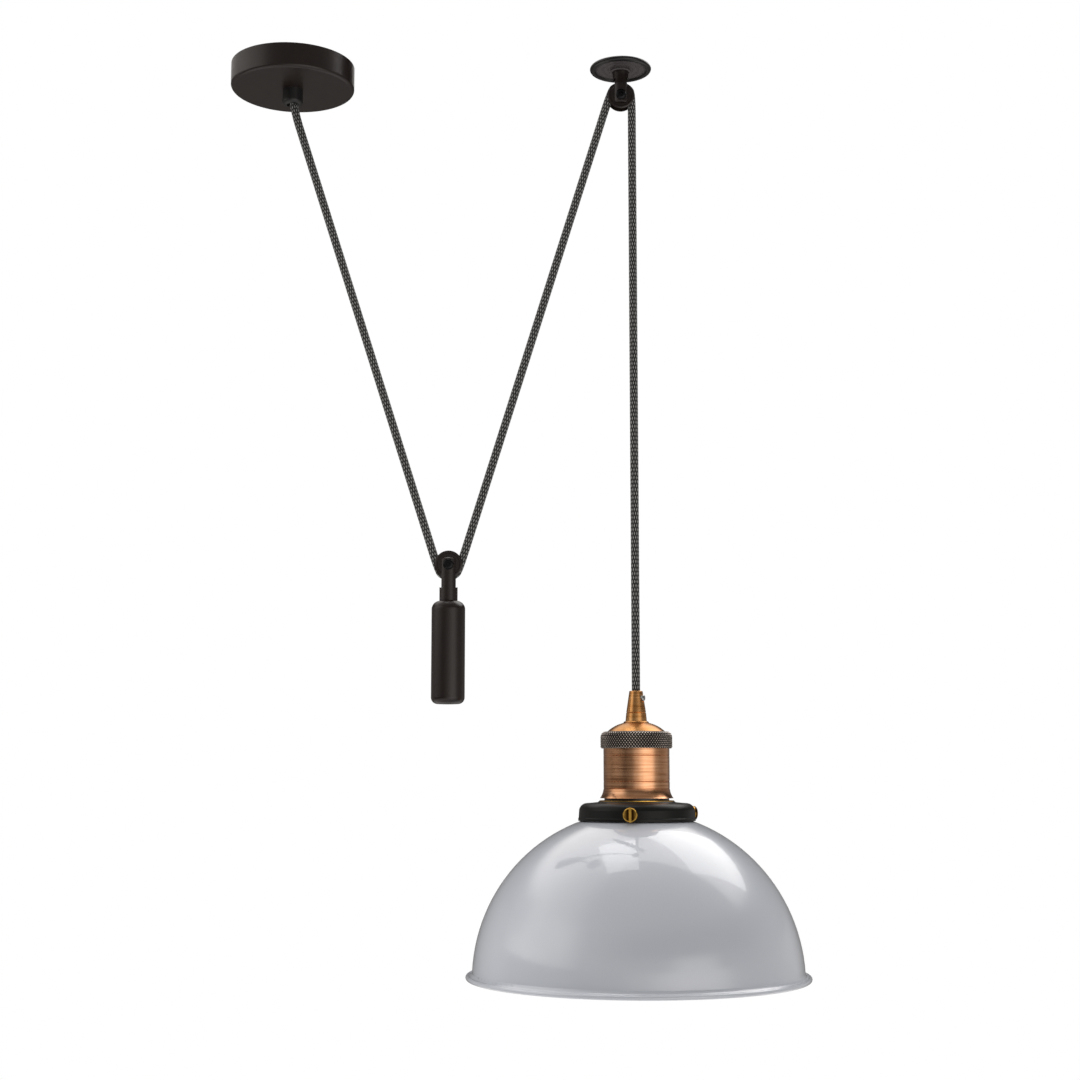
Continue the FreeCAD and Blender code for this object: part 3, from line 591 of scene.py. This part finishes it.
# %% The route as a curve
ROUTE = [
    (0.0, -17.5),
    (0.0, -29.5),
    (11.0, -63.9),
    (100.4, -343.9),
    (111.3, -378.2),
    (114.4, -381.1),
    (118.5, -382.2),
    (122.6, -381.1),
    (125.7, -378.1),
    (136.3, -343.7),
    (226.3, -52.8),
    (236.9, -18.4),
    (240.5, -15.3),
    (245.3, -14.7),
    (249.6, -16.7),
    (252.2, -20.7),
    (252.2, -56.7),
    (252.2, -455.5),
    (252.2, -491.5),
]


def follow(points):
    """The points of a smooth curve through the plane of the wheels, in metres."""
    data = bpy.data.curves.new("route", "CURVE")
    data.dimensions = "3D"
    data.resolution_u = 32
    spline = data.splines.new("NURBS")
    spline.points.add(len(points) - 1)
    for target, (x, z) in zip(spline.points, points):
        target.co = (x * MM, 0, z * MM, 1)
    spline.order_u = 3
    spline.use_endpoint_u = True
    curve = bpy.data.objects.new("route", data)
    bpy.context.scene.collection.objects.link(curve)
    bpy.context.view_layer.update()
    mesh = bpy.data.meshes.new_from_object(curve)
    line = [v.co.copy() for v in mesh.vertices]
    bpy.data.objects.remove(curve)
    bpy.data.meshes.remove(mesh)
    return line


line = follow(ROUTE)
distances = [0.0]
for before, after in zip(line, line[1:]):
    distances.append(distances[-1] + (after - before).length)
print("flex", round(distances[-1], 4), "m from rose to lampholder,", len(line), "points")

# %% [markdown]
# ## Four lengths of one flex
#
# When the lamp moves, the flex does four different things: its first run leans with the weight, a
# short turn rides with the weight's wheel, the next run leans back up, and the last hangs from the
# pulley to the lamp. So the line is cut where one becomes another, and the pieces share the same
# distances, which keeps the weave in step from one to the next.

# %% Cut the line
def nearest_distance(target):
    """How far along the flex the place nearest to a point lies."""
    best = min(range(len(line)), key=lambda i: (line[i] - target).length)
    found = distances[best]
    for i in (max(best - 1, 0), min(best, len(line) - 2)):
        step = line[i + 1] - line[i]
        share = max(0.0, min(1.0, (target - line[i]).dot(step) / step.length_squared))
        here = line[i] + step * share
        if (here - target).length < (line[best] - target).length:
            found = distances[i] + step.length * share
    return found


def corner_distance(number):
    """How far along the flex the place nearest to a corner of the route lies."""
    x, z = ROUTE[number]
    return nearest_distance(Vector((x * MM, 0, z * MM)))


def place_at(distance):
    """The point on the flex and its direction, at a distance from its start."""
    i = 0
    while i < len(distances) - 2 and distances[i + 1] < distance:
        i += 1
    step = line[i + 1] - line[i]
    return line[i] + step * ((distance - distances[i]) / step.length), step.normalized()


leg_low, leg_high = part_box("cord_rose_leg")
print("rose leg spans", round(leg_low.z, 4), round(leg_high.z, 4))
OUT_OF_GLAND, ONTO_WEIGHT, OFF_WEIGHT, ONTO_PULLEY, OFF_PULLEY = 1, 4, 8, 11, 15
STUB, GLAND_STUB = 11.0 * MM, 8.0 * MM
weight_in = corner_distance(ONTO_WEIGHT) - STUB
weight_out = corner_distance(OFF_WEIGHT) + STUB
pulley_in = corner_distance(ONTO_PULLEY) - STUB
print("cuts at", [round(v, 4) for v in (weight_in, weight_out, pulley_in)])

# %% [markdown]
# ## Weaving the braid
#
# The sleeve is a cotton braid over the cores, twenty threads each way. All that wind one way are
# black, and of those that wind the other way, every second one is pale grey. Each crossing is a
# small lozenge, 0.9 mm wide and 1.45 mm long, so the flex is black with slanting rows of grey
# dashes. The tube is a mesh that swells over each lozenge and dips between them, and its UV map
# counts threads, which lets the material colour the same lozenges exactly.

# %% Weave a length of flex
CORD_R = 3.0 * MM
THREADS = 20
LOZENGE = 1.45 * MM
SIDES = 60
RING_STEP = 0.5 * MM
DIP = 0.15 * MM


def weave(name, first, last):
    """A woven tube along the flex between two distances, and the points it follows."""
    rings = max(2, round((last - first) / RING_STEP))
    points, corners, uvs, faces = [], [], [], []
    for i in range(rings + 1):
        distance = first + (last - first) * i / rings
        centre, heading = place_at(distance)
        points.append(centre)
        side = Vector((0, 1, 0))
        other = heading.cross(side)
        along = distance / LOZENGE
        for j in range(SIDES):
            turn = j / SIDES
            right = turn * THREADS + along / 2
            left = turn * THREADS - along / 2
            swell = abs(math.sin(math.pi * right)) * abs(math.sin(math.pi * left))
            radius = CORD_R - DIP * (1 - math.sqrt(swell))
            angle = 2 * math.pi * turn
            corners.append(
                centre + side * (radius * math.cos(angle)) + other * (radius * math.sin(angle))
            )
    for i in range(rings):
        for j in range(SIDES):
            k = (j + 1) % SIDES
            faces.append((i * SIDES + j, (i + 1) * SIDES + j, (i + 1) * SIDES + k, i * SIDES + k))
            low = (first + (last - first) * i / rings) / LOZENGE
            high = (first + (last - first) * (i + 1) / rings) / LOZENGE
            u, v = j / SIDES * THREADS, (j + 1) / SIDES * THREADS
            uvs.extend([(u, low), (u, high), (v, high), (v, low)])
    faces.append(tuple(range(SIDES)))
    uvs.extend([(0.0, 0.0)] * SIDES)
    faces.append(tuple(reversed(range(rings * SIDES, (rings + 1) * SIDES))))
    uvs.extend([(0.0, 0.0)] * SIDES)
    mesh = bpy.data.meshes.new(name)
    mesh.from_pydata(corners, [], faces)
    layer = mesh.uv_layers.new(name="threads")
    for loop, uv in zip(layer.data, uvs):
        loop.uv = uv
    mesh.polygons.foreach_set("use_smooth", [True] * len(faces))
    made = bpy.data.objects.new(name, mesh)
    bpy.context.scene.collection.objects.link(made)
    print(name, round((last - first) / MM, 1), "mm,", len(faces), "faces")
    return made, points


end = distances[-1]
rose_run, rose_points = weave("flex_rose_run", 0.0, weight_in)
weight_turn, weight_points = weave("flex_weight_turn", weight_in, weight_out)
pulley_run, pulley_points = weave("flex_pulley_run", weight_out, pulley_in)
lamp_run, lamp_points = weave("flex_lamp_run", pulley_in, end)

# %% [markdown]
# ## The braid's material
#
# Cotton is matt and a little hairy, so it has a high roughness and some sheen. Adding half the
# lengthwise count to the round one numbers the threads that wind one way, and subtracting it
# numbers the others. Where both whole numbers are even, a pale thread is on top; elsewhere the
# thread on top is black.

# %% Material: cotton braid
FUZZ, FUZZ_DEPTH = 0.5 * MM, 0.1 * MM


def cotton_braid():
    made, tree, shader = start_material(
        "cotton braid, black and grey", roughness=0.8, sheen_weight=0.2, sheen_roughness=0.4,
    )
    place = add(tree, "ShaderNodeUVMap", {"uv_map": "threads"})
    parts = add(tree, "ShaderNodeSeparateXYZ", None, {0: place.outputs[0]})
    half = add(tree, "ShaderNodeMath", {"operation": "MULTIPLY", 1: 0.5}, {0: parts.outputs["Y"]})
    evens, dips = [], []
    for operation in ("ADD", "SUBTRACT"):
        thread = add(
            tree, "ShaderNodeMath", {"operation": operation},
            {0: parts.outputs["X"], 1: half.outputs[0]},
        )
        turn = add(
            tree, "ShaderNodeMath", {"operation": "FLOORED_MODULO", 1: 2.0},
            {0: thread.outputs[0]},
        )
        evens.append(add(
            tree, "ShaderNodeMath", {"operation": "LESS_THAN", 1: 1.0}, {0: turn.outputs[0]},
        ))
        dips.append(add(
            tree, "ShaderNodeMath", {"operation": "PINGPONG", 1: 0.5}, {0: thread.outputs[0]},
        ))
    pale = add(
        tree, "ShaderNodeMath", {"operation": "MULTIPLY"},
        {0: evens[0].outputs[0], 1: evens[1].outputs[0]},
    )
    fuzz_place = add(tree, "ShaderNodeTexCoord")
    fuzz = add(
        tree, "ShaderNodeTexNoise", {"Scale": 1 / FUZZ, "Detail": 2.0},
        {"Vector": fuzz_place.outputs["Object"]},
    )
    black = add(
        tree, "ShaderNodeMix", {"data_type": "RGBA", 6: linear("#141414"), 7: linear("#343434")},
        {0: fuzz.outputs["Fac"]},
    )
    grey = add(
        tree, "ShaderNodeMix", {"data_type": "RGBA", 6: linear("#9a9994"), 7: linear("#d2d0ca")},
        {0: fuzz.outputs["Fac"]},
    )
    woven = add(
        tree, "ShaderNodeMix", {"data_type": "RGBA"},
        {0: pale.outputs[0], 6: black.outputs[2], 7: grey.outputs[2]},
    )
    # The borders of each lozenge are painted up to 70 per cent towards near black: a painted shade
    # in the crevices between threads.
    valley = add(
        tree, "ShaderNodeMath", {"operation": "MINIMUM"},
        {0: dips[0].outputs[0], 1: dips[1].outputs[0]},
    )
    crevice_shade_mask = add(
        tree, "ShaderNodeMapRange", {"From Max": 0.12, "To Min": 0.7, "To Max": 0.0},
        {"Value": valley.outputs[0]},
    )
    deep = add(
        tree, "ShaderNodeMix", {"data_type": "RGBA", 7: linear("#0a0a0a")},
        {0: crevice_shade_mask.outputs[0], 6: woven.outputs[2]},
    )
    relief = add(
        tree, "ShaderNodeBump", {"Strength": 0.4, "Distance": FUZZ_DEPTH},
        {"Height": fuzz.outputs["Fac"]},
    )
    tree.links.new(deep.outputs[2], shader.inputs["Base Color"])
    tree.links.new(relief.outputs["Normal"], shader.inputs["Normal"])
    return made


braid = cotton_braid()
for piece in (rose_run, weight_turn, pulley_run, lamp_run):
    piece.data.materials.append(braid)
print(braid.name)

# %% [markdown]
# ## Hanging the flex on its bodies
#
# The short turn rides with the weight's carriage, the three runs stay where they are woven, and the
# imported flex pieces are hidden. At the ends of the lamp's travel the runs stand up to 8 mm off in
# the gland and 3.5 mm off at a wheel, which shows as small gaps and steps beside the wheels.

def declare(nodes):
    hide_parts(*nodes)


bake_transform(rose_run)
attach(weight_turn, "weight_carriage")
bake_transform(pulley_run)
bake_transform(lamp_run)
declare(["cord_rose_tail", "cord_rose_leg"])
declare(["cord_weight_bend"])
declare(["cord_pulley_leg"])
declare(["cord_pulley_bend", "cord_lamp_leg", "cord_lamp_tail"])

# %% [markdown]
# ## Turning on a lathe
#
# The ring and the socket are round, so both start as an outline that is swept round the lamp's
# axis. The function below does the sweep and lets a rule push each point in or out, which is how a
# knurl or a thread is cut.

# %% A lathe
def lathe(name, outline, columns, cut=None):
    """Sweep a closed outline of (radius, height) round the lamp's axis; cut returns a depth."""
    count = len(outline)
    corners, depths = [], []
    for j in range(columns):
        angle = 2 * math.pi * j / columns
        for radius, height in outline:
            depth = cut(angle, radius, height) if cut else 0.0
            depths.append(depth / MM)
            corners.append((
                LAMP_X + (radius - depth) * math.cos(angle), (radius - depth) * math.sin(angle),
                height,
            ))
    faces = []
    for j in range(columns):
        k = (j + 1) % columns
        for i in range(count):
            n = (i + 1) % count
            faces.append((j * count + i, k * count + i, k * count + n, j * count + n))
    mesh = bpy.data.meshes.new(name)
    mesh.from_pydata(corners, [], faces)
    mesh.attributes.new("cut_depth", "FLOAT", "POINT").data.foreach_set("value", depths)
    mesh.update()
    made = bpy.data.objects.new(name, mesh)
    bpy.context.scene.collection.objects.link(made)
    print(name, len(corners), "points")
    return made


def steps(start, stop, count):
    """Even steps from start to stop, both included."""
    return [start + (stop - start) * i / count for i in range(count + 1)]


# %% [markdown]
# ## The knurled ring
#
# A knurling wheel presses two sets of slanting grooves into the ring, and what is left between them
# is a field of small pyramids. Real ones are perhaps 1.3 mm apart; here they are 2.1 mm apart, so
# that they show. The pattern fades out on the rounded upper edge. Each point of the mesh
# keeps how deep it was cut in an attribute, so that the plate can be dark in the grooves and rubbed
# bright on the tips.

# %% Knurl the ring
RING_R = (ring_high.x - ring_low.x) / 2
KNURLS = 76
KNURL_DEPTH = 0.6 * MM
KNURL_PITCH = 2 * math.pi * RING_R / KNURLS
ring_top, ring_base = ring_high.z, ring_low.z
SHOULDER_IN, SHOULDER_DROP = 3.3 * MM, 4.2 * MM
CHAMFER = 0.8 * MM
TOP_HOLE_R, HOLE_R, TOP_WEB = 21.35 * MM, 23.75 * MM, 6.0 * MM
SLANT = 0.8
FADE, MARGIN = 1.0 * MM, 0.1 * MM


def ring_outline():
    outline = [(RING_R - CHAMFER, ring_base), (RING_R - CHAMFER / 2, ring_base + CHAMFER / 2)]
    low, high = ring_base + CHAMFER, ring_top - SHOULDER_DROP
    outline += [(RING_R, z) for z in steps(low, high, 36)]
    for turn in steps(3, 90, 29):
        angle = math.radians(turn)
        outline.append((
            RING_R - SHOULDER_IN * (1 - math.cos(angle)),
            ring_top - SHOULDER_DROP * (1 - math.sin(angle)),
        ))
    ledge = ring_top - TOP_WEB
    outline += [(TOP_HOLE_R, ring_top), (TOP_HOLE_R, ledge), (HOLE_R, ledge), (HOLE_R, ring_base)]
    return outline


def knurl(angle, radius, height):
    inner_edge = RING_R - SHOULDER_IN
    if radius < inner_edge + MARGIN or height < ring_base + MARGIN:
        return 0.0
    across = angle * KNURLS / (2 * math.pi)
    along = (height - ring_base) / KNURL_PITCH * SLANT
    deepest = 0.0
    for thread in (across + along, across - along):
        share = thread % 1.0
        deepest = max(deepest, abs(2 * share - 1))
    fade = min(1.0, (radius - inner_edge) / FADE)
    return KNURL_DEPTH * deepest * fade


knurled = lathe("lampholder_knurled_ring", ring_outline(), KNURLS * 10, knurl)
knurled.data.materials.append(pewter)
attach(knurled, "ring")
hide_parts("knurled_ring")
print("pyramids", round(KNURL_PITCH / MM, 2), "mm apart")

# %% [markdown]
# ## The socket's thread
#
# The screw shell of an E27 holder is thin brass, rolled into a round thread of seven turns to the
# inch, so one turn climbs 3.6 mm. Seen from below it is the most telling detail of the lampholder.

# %% Roll the thread
THREAD_PITCH = 3.62 * MM
THREAD_DEPTH = 1.0 * MM
SOCKET_R = 13.3 * MM
WALL = 0.4 * MM
FLOOR_WALL, FLOOR_HOLE_R = 0.6 * MM, 7.4 * MM
LEAD_IN = 0.8 * MM


def socket_outline():
    low, high = socket_low.z, socket_high.z
    heights = steps(low, high - FLOOR_WALL, 96)
    inner = [(SOCKET_R, z) for z in heights]
    outer = [(SOCKET_R + WALL, z) for z in reversed(heights)]
    rim = [(FLOOR_HOLE_R, high - FLOOR_WALL), (FLOOR_HOLE_R, high), (SOCKET_R + WALL, high)]
    return inner + rim + outer


def thread(angle, radius, height):
    if radius < SOCKET_R - MARGIN or height > socket_high.z - FLOOR_WALL - MARGIN:
        return 0.0
    turn = height / THREAD_PITCH + angle / (2 * math.pi)
    fade = min(1.0, (socket_high.z - FLOOR_WALL - height) / THREAD_PITCH,
               (height - socket_low.z) / LEAD_IN)
    return THREAD_DEPTH * fade * (0.5 - 0.5 * math.cos(2 * math.pi * turn))


socket = lathe("lampholder_screw_shell", socket_outline(), 160, thread)
socket.data.polygons.foreach_set("use_smooth", [True] * len(socket.data.polygons))
socket.data.materials.append(brass)
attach(socket, "lamp")
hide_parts("socket_screw_shell")

# %% [markdown]
# ## Floor and light
#
# The pendant hangs, so the floor is far below, at the depth of a room. The background is white for
# the camera and for glass. It is white for reflections too, but these meet the tent of the next
# section first. The light that falls on matt surfaces is dimmer, and dimmest from below and from the
# viewer's side, which shapes the dome. A large panel above and behind, to the right, is the window
# whose curved image lies on the dome, and a smaller one is its neighbour.

# %% World
world = bpy.data.worlds.new("studio")
bpy.context.scene.world = world
world.use_nodes = True
sky = world.node_tree
for old in list(sky.nodes):
    sky.nodes.remove(old)
ray = add(sky, "ShaderNodeLightPath")
seen = add(
    sky, "ShaderNodeMath", {"operation": "MAXIMUM"},
    {0: ray.outputs["Is Camera Ray"], 1: ray.outputs["Is Glossy Ray"]},
)
shown = add(
    sky, "ShaderNodeMath", {"operation": "MAXIMUM"},
    {0: seen.outputs[0], 1: ray.outputs["Is Transmission Ray"]},
)
EVEN, UPPER, SIDES_FILL, BACK, LEFT = 0.24, 0.42, 0.66, 0.3, 0.16
LEAST = 0.03
towards = add(sky, "ShaderNodeTexCoord")
way = add(sky, "ShaderNodeSeparateXYZ", None, {0: towards.outputs["Generated"]})
square = add(
    sky, "ShaderNodeMath", {"operation": "MULTIPLY"}, {0: way.outputs["X"], 1: way.outputs["X"]},
)
fill = add(
    sky, "ShaderNodeMath", {"operation": "MULTIPLY_ADD", 1: SIDES_FILL, 2: EVEN},
    {0: square.outputs[0]},
)
for weight, part in ((UPPER, "Z"), (BACK, "Y"), (-LEFT, "X")):
    fill = add(
        sky, "ShaderNodeMath", {"operation": "MULTIPLY_ADD", 1: weight},
        {0: way.outputs[part], 2: fill.outputs[0]},
    )
kept = add(sky, "ShaderNodeMath", {"operation": "MAXIMUM", 1: LEAST}, {0: fill.outputs[0]})
fill_light = add(
    sky, "ShaderNodeBackground", {"Color": (1, 1, 1, 1)}, {"Strength": kept.outputs[0]}
)
backdrop = add(sky, "ShaderNodeBackground", {"Color": (1, 1, 1, 1), "Strength": 1.0})
either = add(
    sky, "ShaderNodeMixShader", None,
    {0: shown.outputs[0], 1: fill_light.outputs[0], 2: backdrop.outputs[0]},
)
add(sky, "ShaderNodeOutputWorld", None, {"Surface": either.outputs[0]})
print("fill", EVEN, "and up to", EVEN + SIDES_FILL + LEFT, "from the left")

# %% Lamps
def softbox(name, place, aim, width, height, watts):
    """A rectangular lamp at a place, turned towards a point."""
    data = bpy.data.lights.new(name, "AREA")
    data.shape = "RECTANGLE"
    data.size = width
    data.size_y = height
    data.energy = watts
    made = bpy.data.objects.new(name, data)
    made.location = place
    made.rotation_euler = (Vector(aim) - Vector(place)).to_track_quat("-Z", "Y").to_euler()
    bpy.context.scene.collection.objects.link(made)
    print(name, watts, "W")
    return made


DOME = Vector((LAMP_X, 0, shade_high.z))
WINDOW_AT, WINDOW_AIM = DOME + Vector((0.85, 0.72, 1.3)), DOME + Vector((0.3, 0.2, 0))
PANE_AT, PANE_AIM = DOME + Vector((-0.2, 0.14, 1.3)), DOME + Vector((-0.2, 0.14, 0))
softbox("window", WINDOW_AT, WINDOW_AIM, width=1.2, height=1.1, watts=6.2)
softbox("window_pane", PANE_AT, PANE_AIM, width=0.42, height=0.75, watts=1.7)

# %% [markdown]
# ## The tent that metal sees
#
# Metal only shows what stands round it, and the highlights in the photograph ask for different
# surroundings at different heights. For the lampholder they are dim on the left, bright just to the
# right of the viewer and dim behind. The weight and the rose want a bright strip on the left, and
# high up it is dim towards the viewer and bright behind. So one round tent of near white paper, seen
# by nothing but reflections, carries those brightnesses as a number on its corners, and they pass
# into each other softly. Each row of tones is for one height above the horizon: the lampholder looks
# straight ahead, the weight a little up, and the rose and the pulley further up. A small black flag
# keeps the window out of the rose's right side.

# %% Tent
LOW_TONES = [(-180, 0.12), (-150, 0.16), (-116, 0.28), (-92, 0.12), (-50, 0.02), (-22, 0.2),
             (0, 0.8), (15, 1.5), (24, 1.8), (50, 1.6), (70, 0.45), (89, 0.3), (128, 0.4),
             (152, 0.16), (180, 0.12)]
WEIGHT_TONES = [(-180, 0.08), (-120, 0.2), (-84, 1.5), (-62, 1.2), (-40, 0.3), (10, 0.5),
                (30, 1.5), (44, 1.4), (60, 0.3), (90, 0.2), (180, 0.08)]
ROSE_TONES = [(-180, 0.04), (-130, 0.06), (-110, 0.3), (-88, 1.2), (-62, 1.3), (-36, 0.2),
              (0, 0.1), (40, 0.02), (180, 0.02)]
SKY_TONES = [(-180, 1.6), (-120, 1.5), (-70, 0.8), (-40, 0.3), (60, 0.3), (84, 0.35), (94, 1.6),
             (180, 1.6)]
WHITE = [(-180, 1.0), (180, 1.0)]
ROWS = [(-90, WHITE), (-36, WHITE), (-20, LOW_TONES), (3, LOW_TONES), (7, WEIGHT_TONES),
        (10, WEIGHT_TONES), (17, ROSE_TONES), (25, ROSE_TONES), (38, SKY_TONES), (90, SKY_TONES)]
TENT_R = 2.4
TENT_CENTRE = Vector((LAMP_X, 0, -0.45))


def between(keys, value):
    """The tone between two keys, with a soft start and end."""
    for (first, low), (last, high) in zip(keys, keys[1:]):
        if value <= last:
            share = (value - first) / (last - first)
            return low + (high - low) * share * share * (3 - 2 * share)
    return keys[-1][1]


def tent():
    turns, heights = steps(-180, 180, 180), steps(-90, 90, 90)
    corners, tones, faces = [], [], []
    for turn in turns:
        around = math.radians(turn)
        for height in heights:
            up = math.radians(height)
            corners.append(TENT_CENTRE + TENT_R * Vector((
                math.sin(around) * math.cos(up), -math.cos(around) * math.cos(up), math.sin(up)
            )))
            row = [(level, between(keys, turn)) for level, keys in ROWS]
            tones.append(between(row, height))
    count = len(heights)
    for i in range(len(turns) - 1):
        for j in range(count - 1):
            a = i * count + j
            faces.append((a, a + count, a + count + 1, a + 1))
    mesh = bpy.data.meshes.new("tent")
    mesh.from_pydata(corners, [], faces)
    mesh.attributes.new("tone", "FLOAT", "POINT").data.foreach_set("value", tones)
    return mesh


def paper(name, strength=0.0):
    made = bpy.data.materials.new(name)
    made.use_nodes = True
    tree = made.node_tree
    tree.nodes.clear()
    glow = add(tree, "ShaderNodeEmission", {"Color": linear("#fffaf6"), "Strength": strength})
    add(tree, "ShaderNodeOutputMaterial", None, {"Surface": glow.outputs[0]})
    return made, tree, glow


def stand(name, mesh, material, *unseen):
    """A piece of studio, unseen by some kinds of ray."""
    made = bpy.data.objects.new(name, mesh)
    bpy.context.scene.collection.objects.link(made)
    mesh.materials.append(material)
    for kind in unseen:
        setattr(made, "visible_" + kind, False)
    return made


tent_paper, tent_tree, tent_glow = paper("tent paper, toned")
tone = add(tent_tree, "ShaderNodeAttribute", {"attribute_name": "tone"})
tent_tree.links.new(tone.outputs["Fac"], tent_glow.inputs["Strength"])
stand("tent", tent(), tent_paper, "camera", "diffuse", "shadow", "transmission")
FLAG_NEAR, FLAG_FAR, FLAG_TALL = (0.3, 0.06), (0.14, 0.25), 0.2
flag_mesh = bpy.data.meshes.new("flag")
flag_mesh.from_pydata(
    [(*FLAG_NEAR, 0.0), (*FLAG_FAR, 0.0), (*FLAG_FAR, FLAG_TALL), (*FLAG_NEAR, FLAG_TALL)],
    [], [(0, 1, 2, 3)],
)
stand("flag", flag_mesh, paper("flag cloth, black")[0], "camera", "diffuse", "transmission")
print("tent of", len(ROWS), "rows")

# %% Floor
FLOOR_Z, FLOOR_HALF = -2.4, 8.0
floor_mesh = bpy.data.meshes.new("floor")
floor_mesh.from_pydata(
    [(x * FLOOR_HALF, y * FLOOR_HALF, FLOOR_Z) for x, y in ((-1, -1), (1, -1), (1, 1), (-1, 1))],
    [], [(0, 1, 2, 3)],
)
floor = bpy.data.objects.new("floor", floor_mesh)
bpy.context.scene.collection.objects.link(floor)
floor_paint, _, floor_shader = start_material("floor paint, white", roughness=0.6)
floor_shader.inputs["Base Color"].default_value = linear("#f2f2f2")
floor_mesh.materials.append(floor_paint)
print("floor", FLOOR_Z)
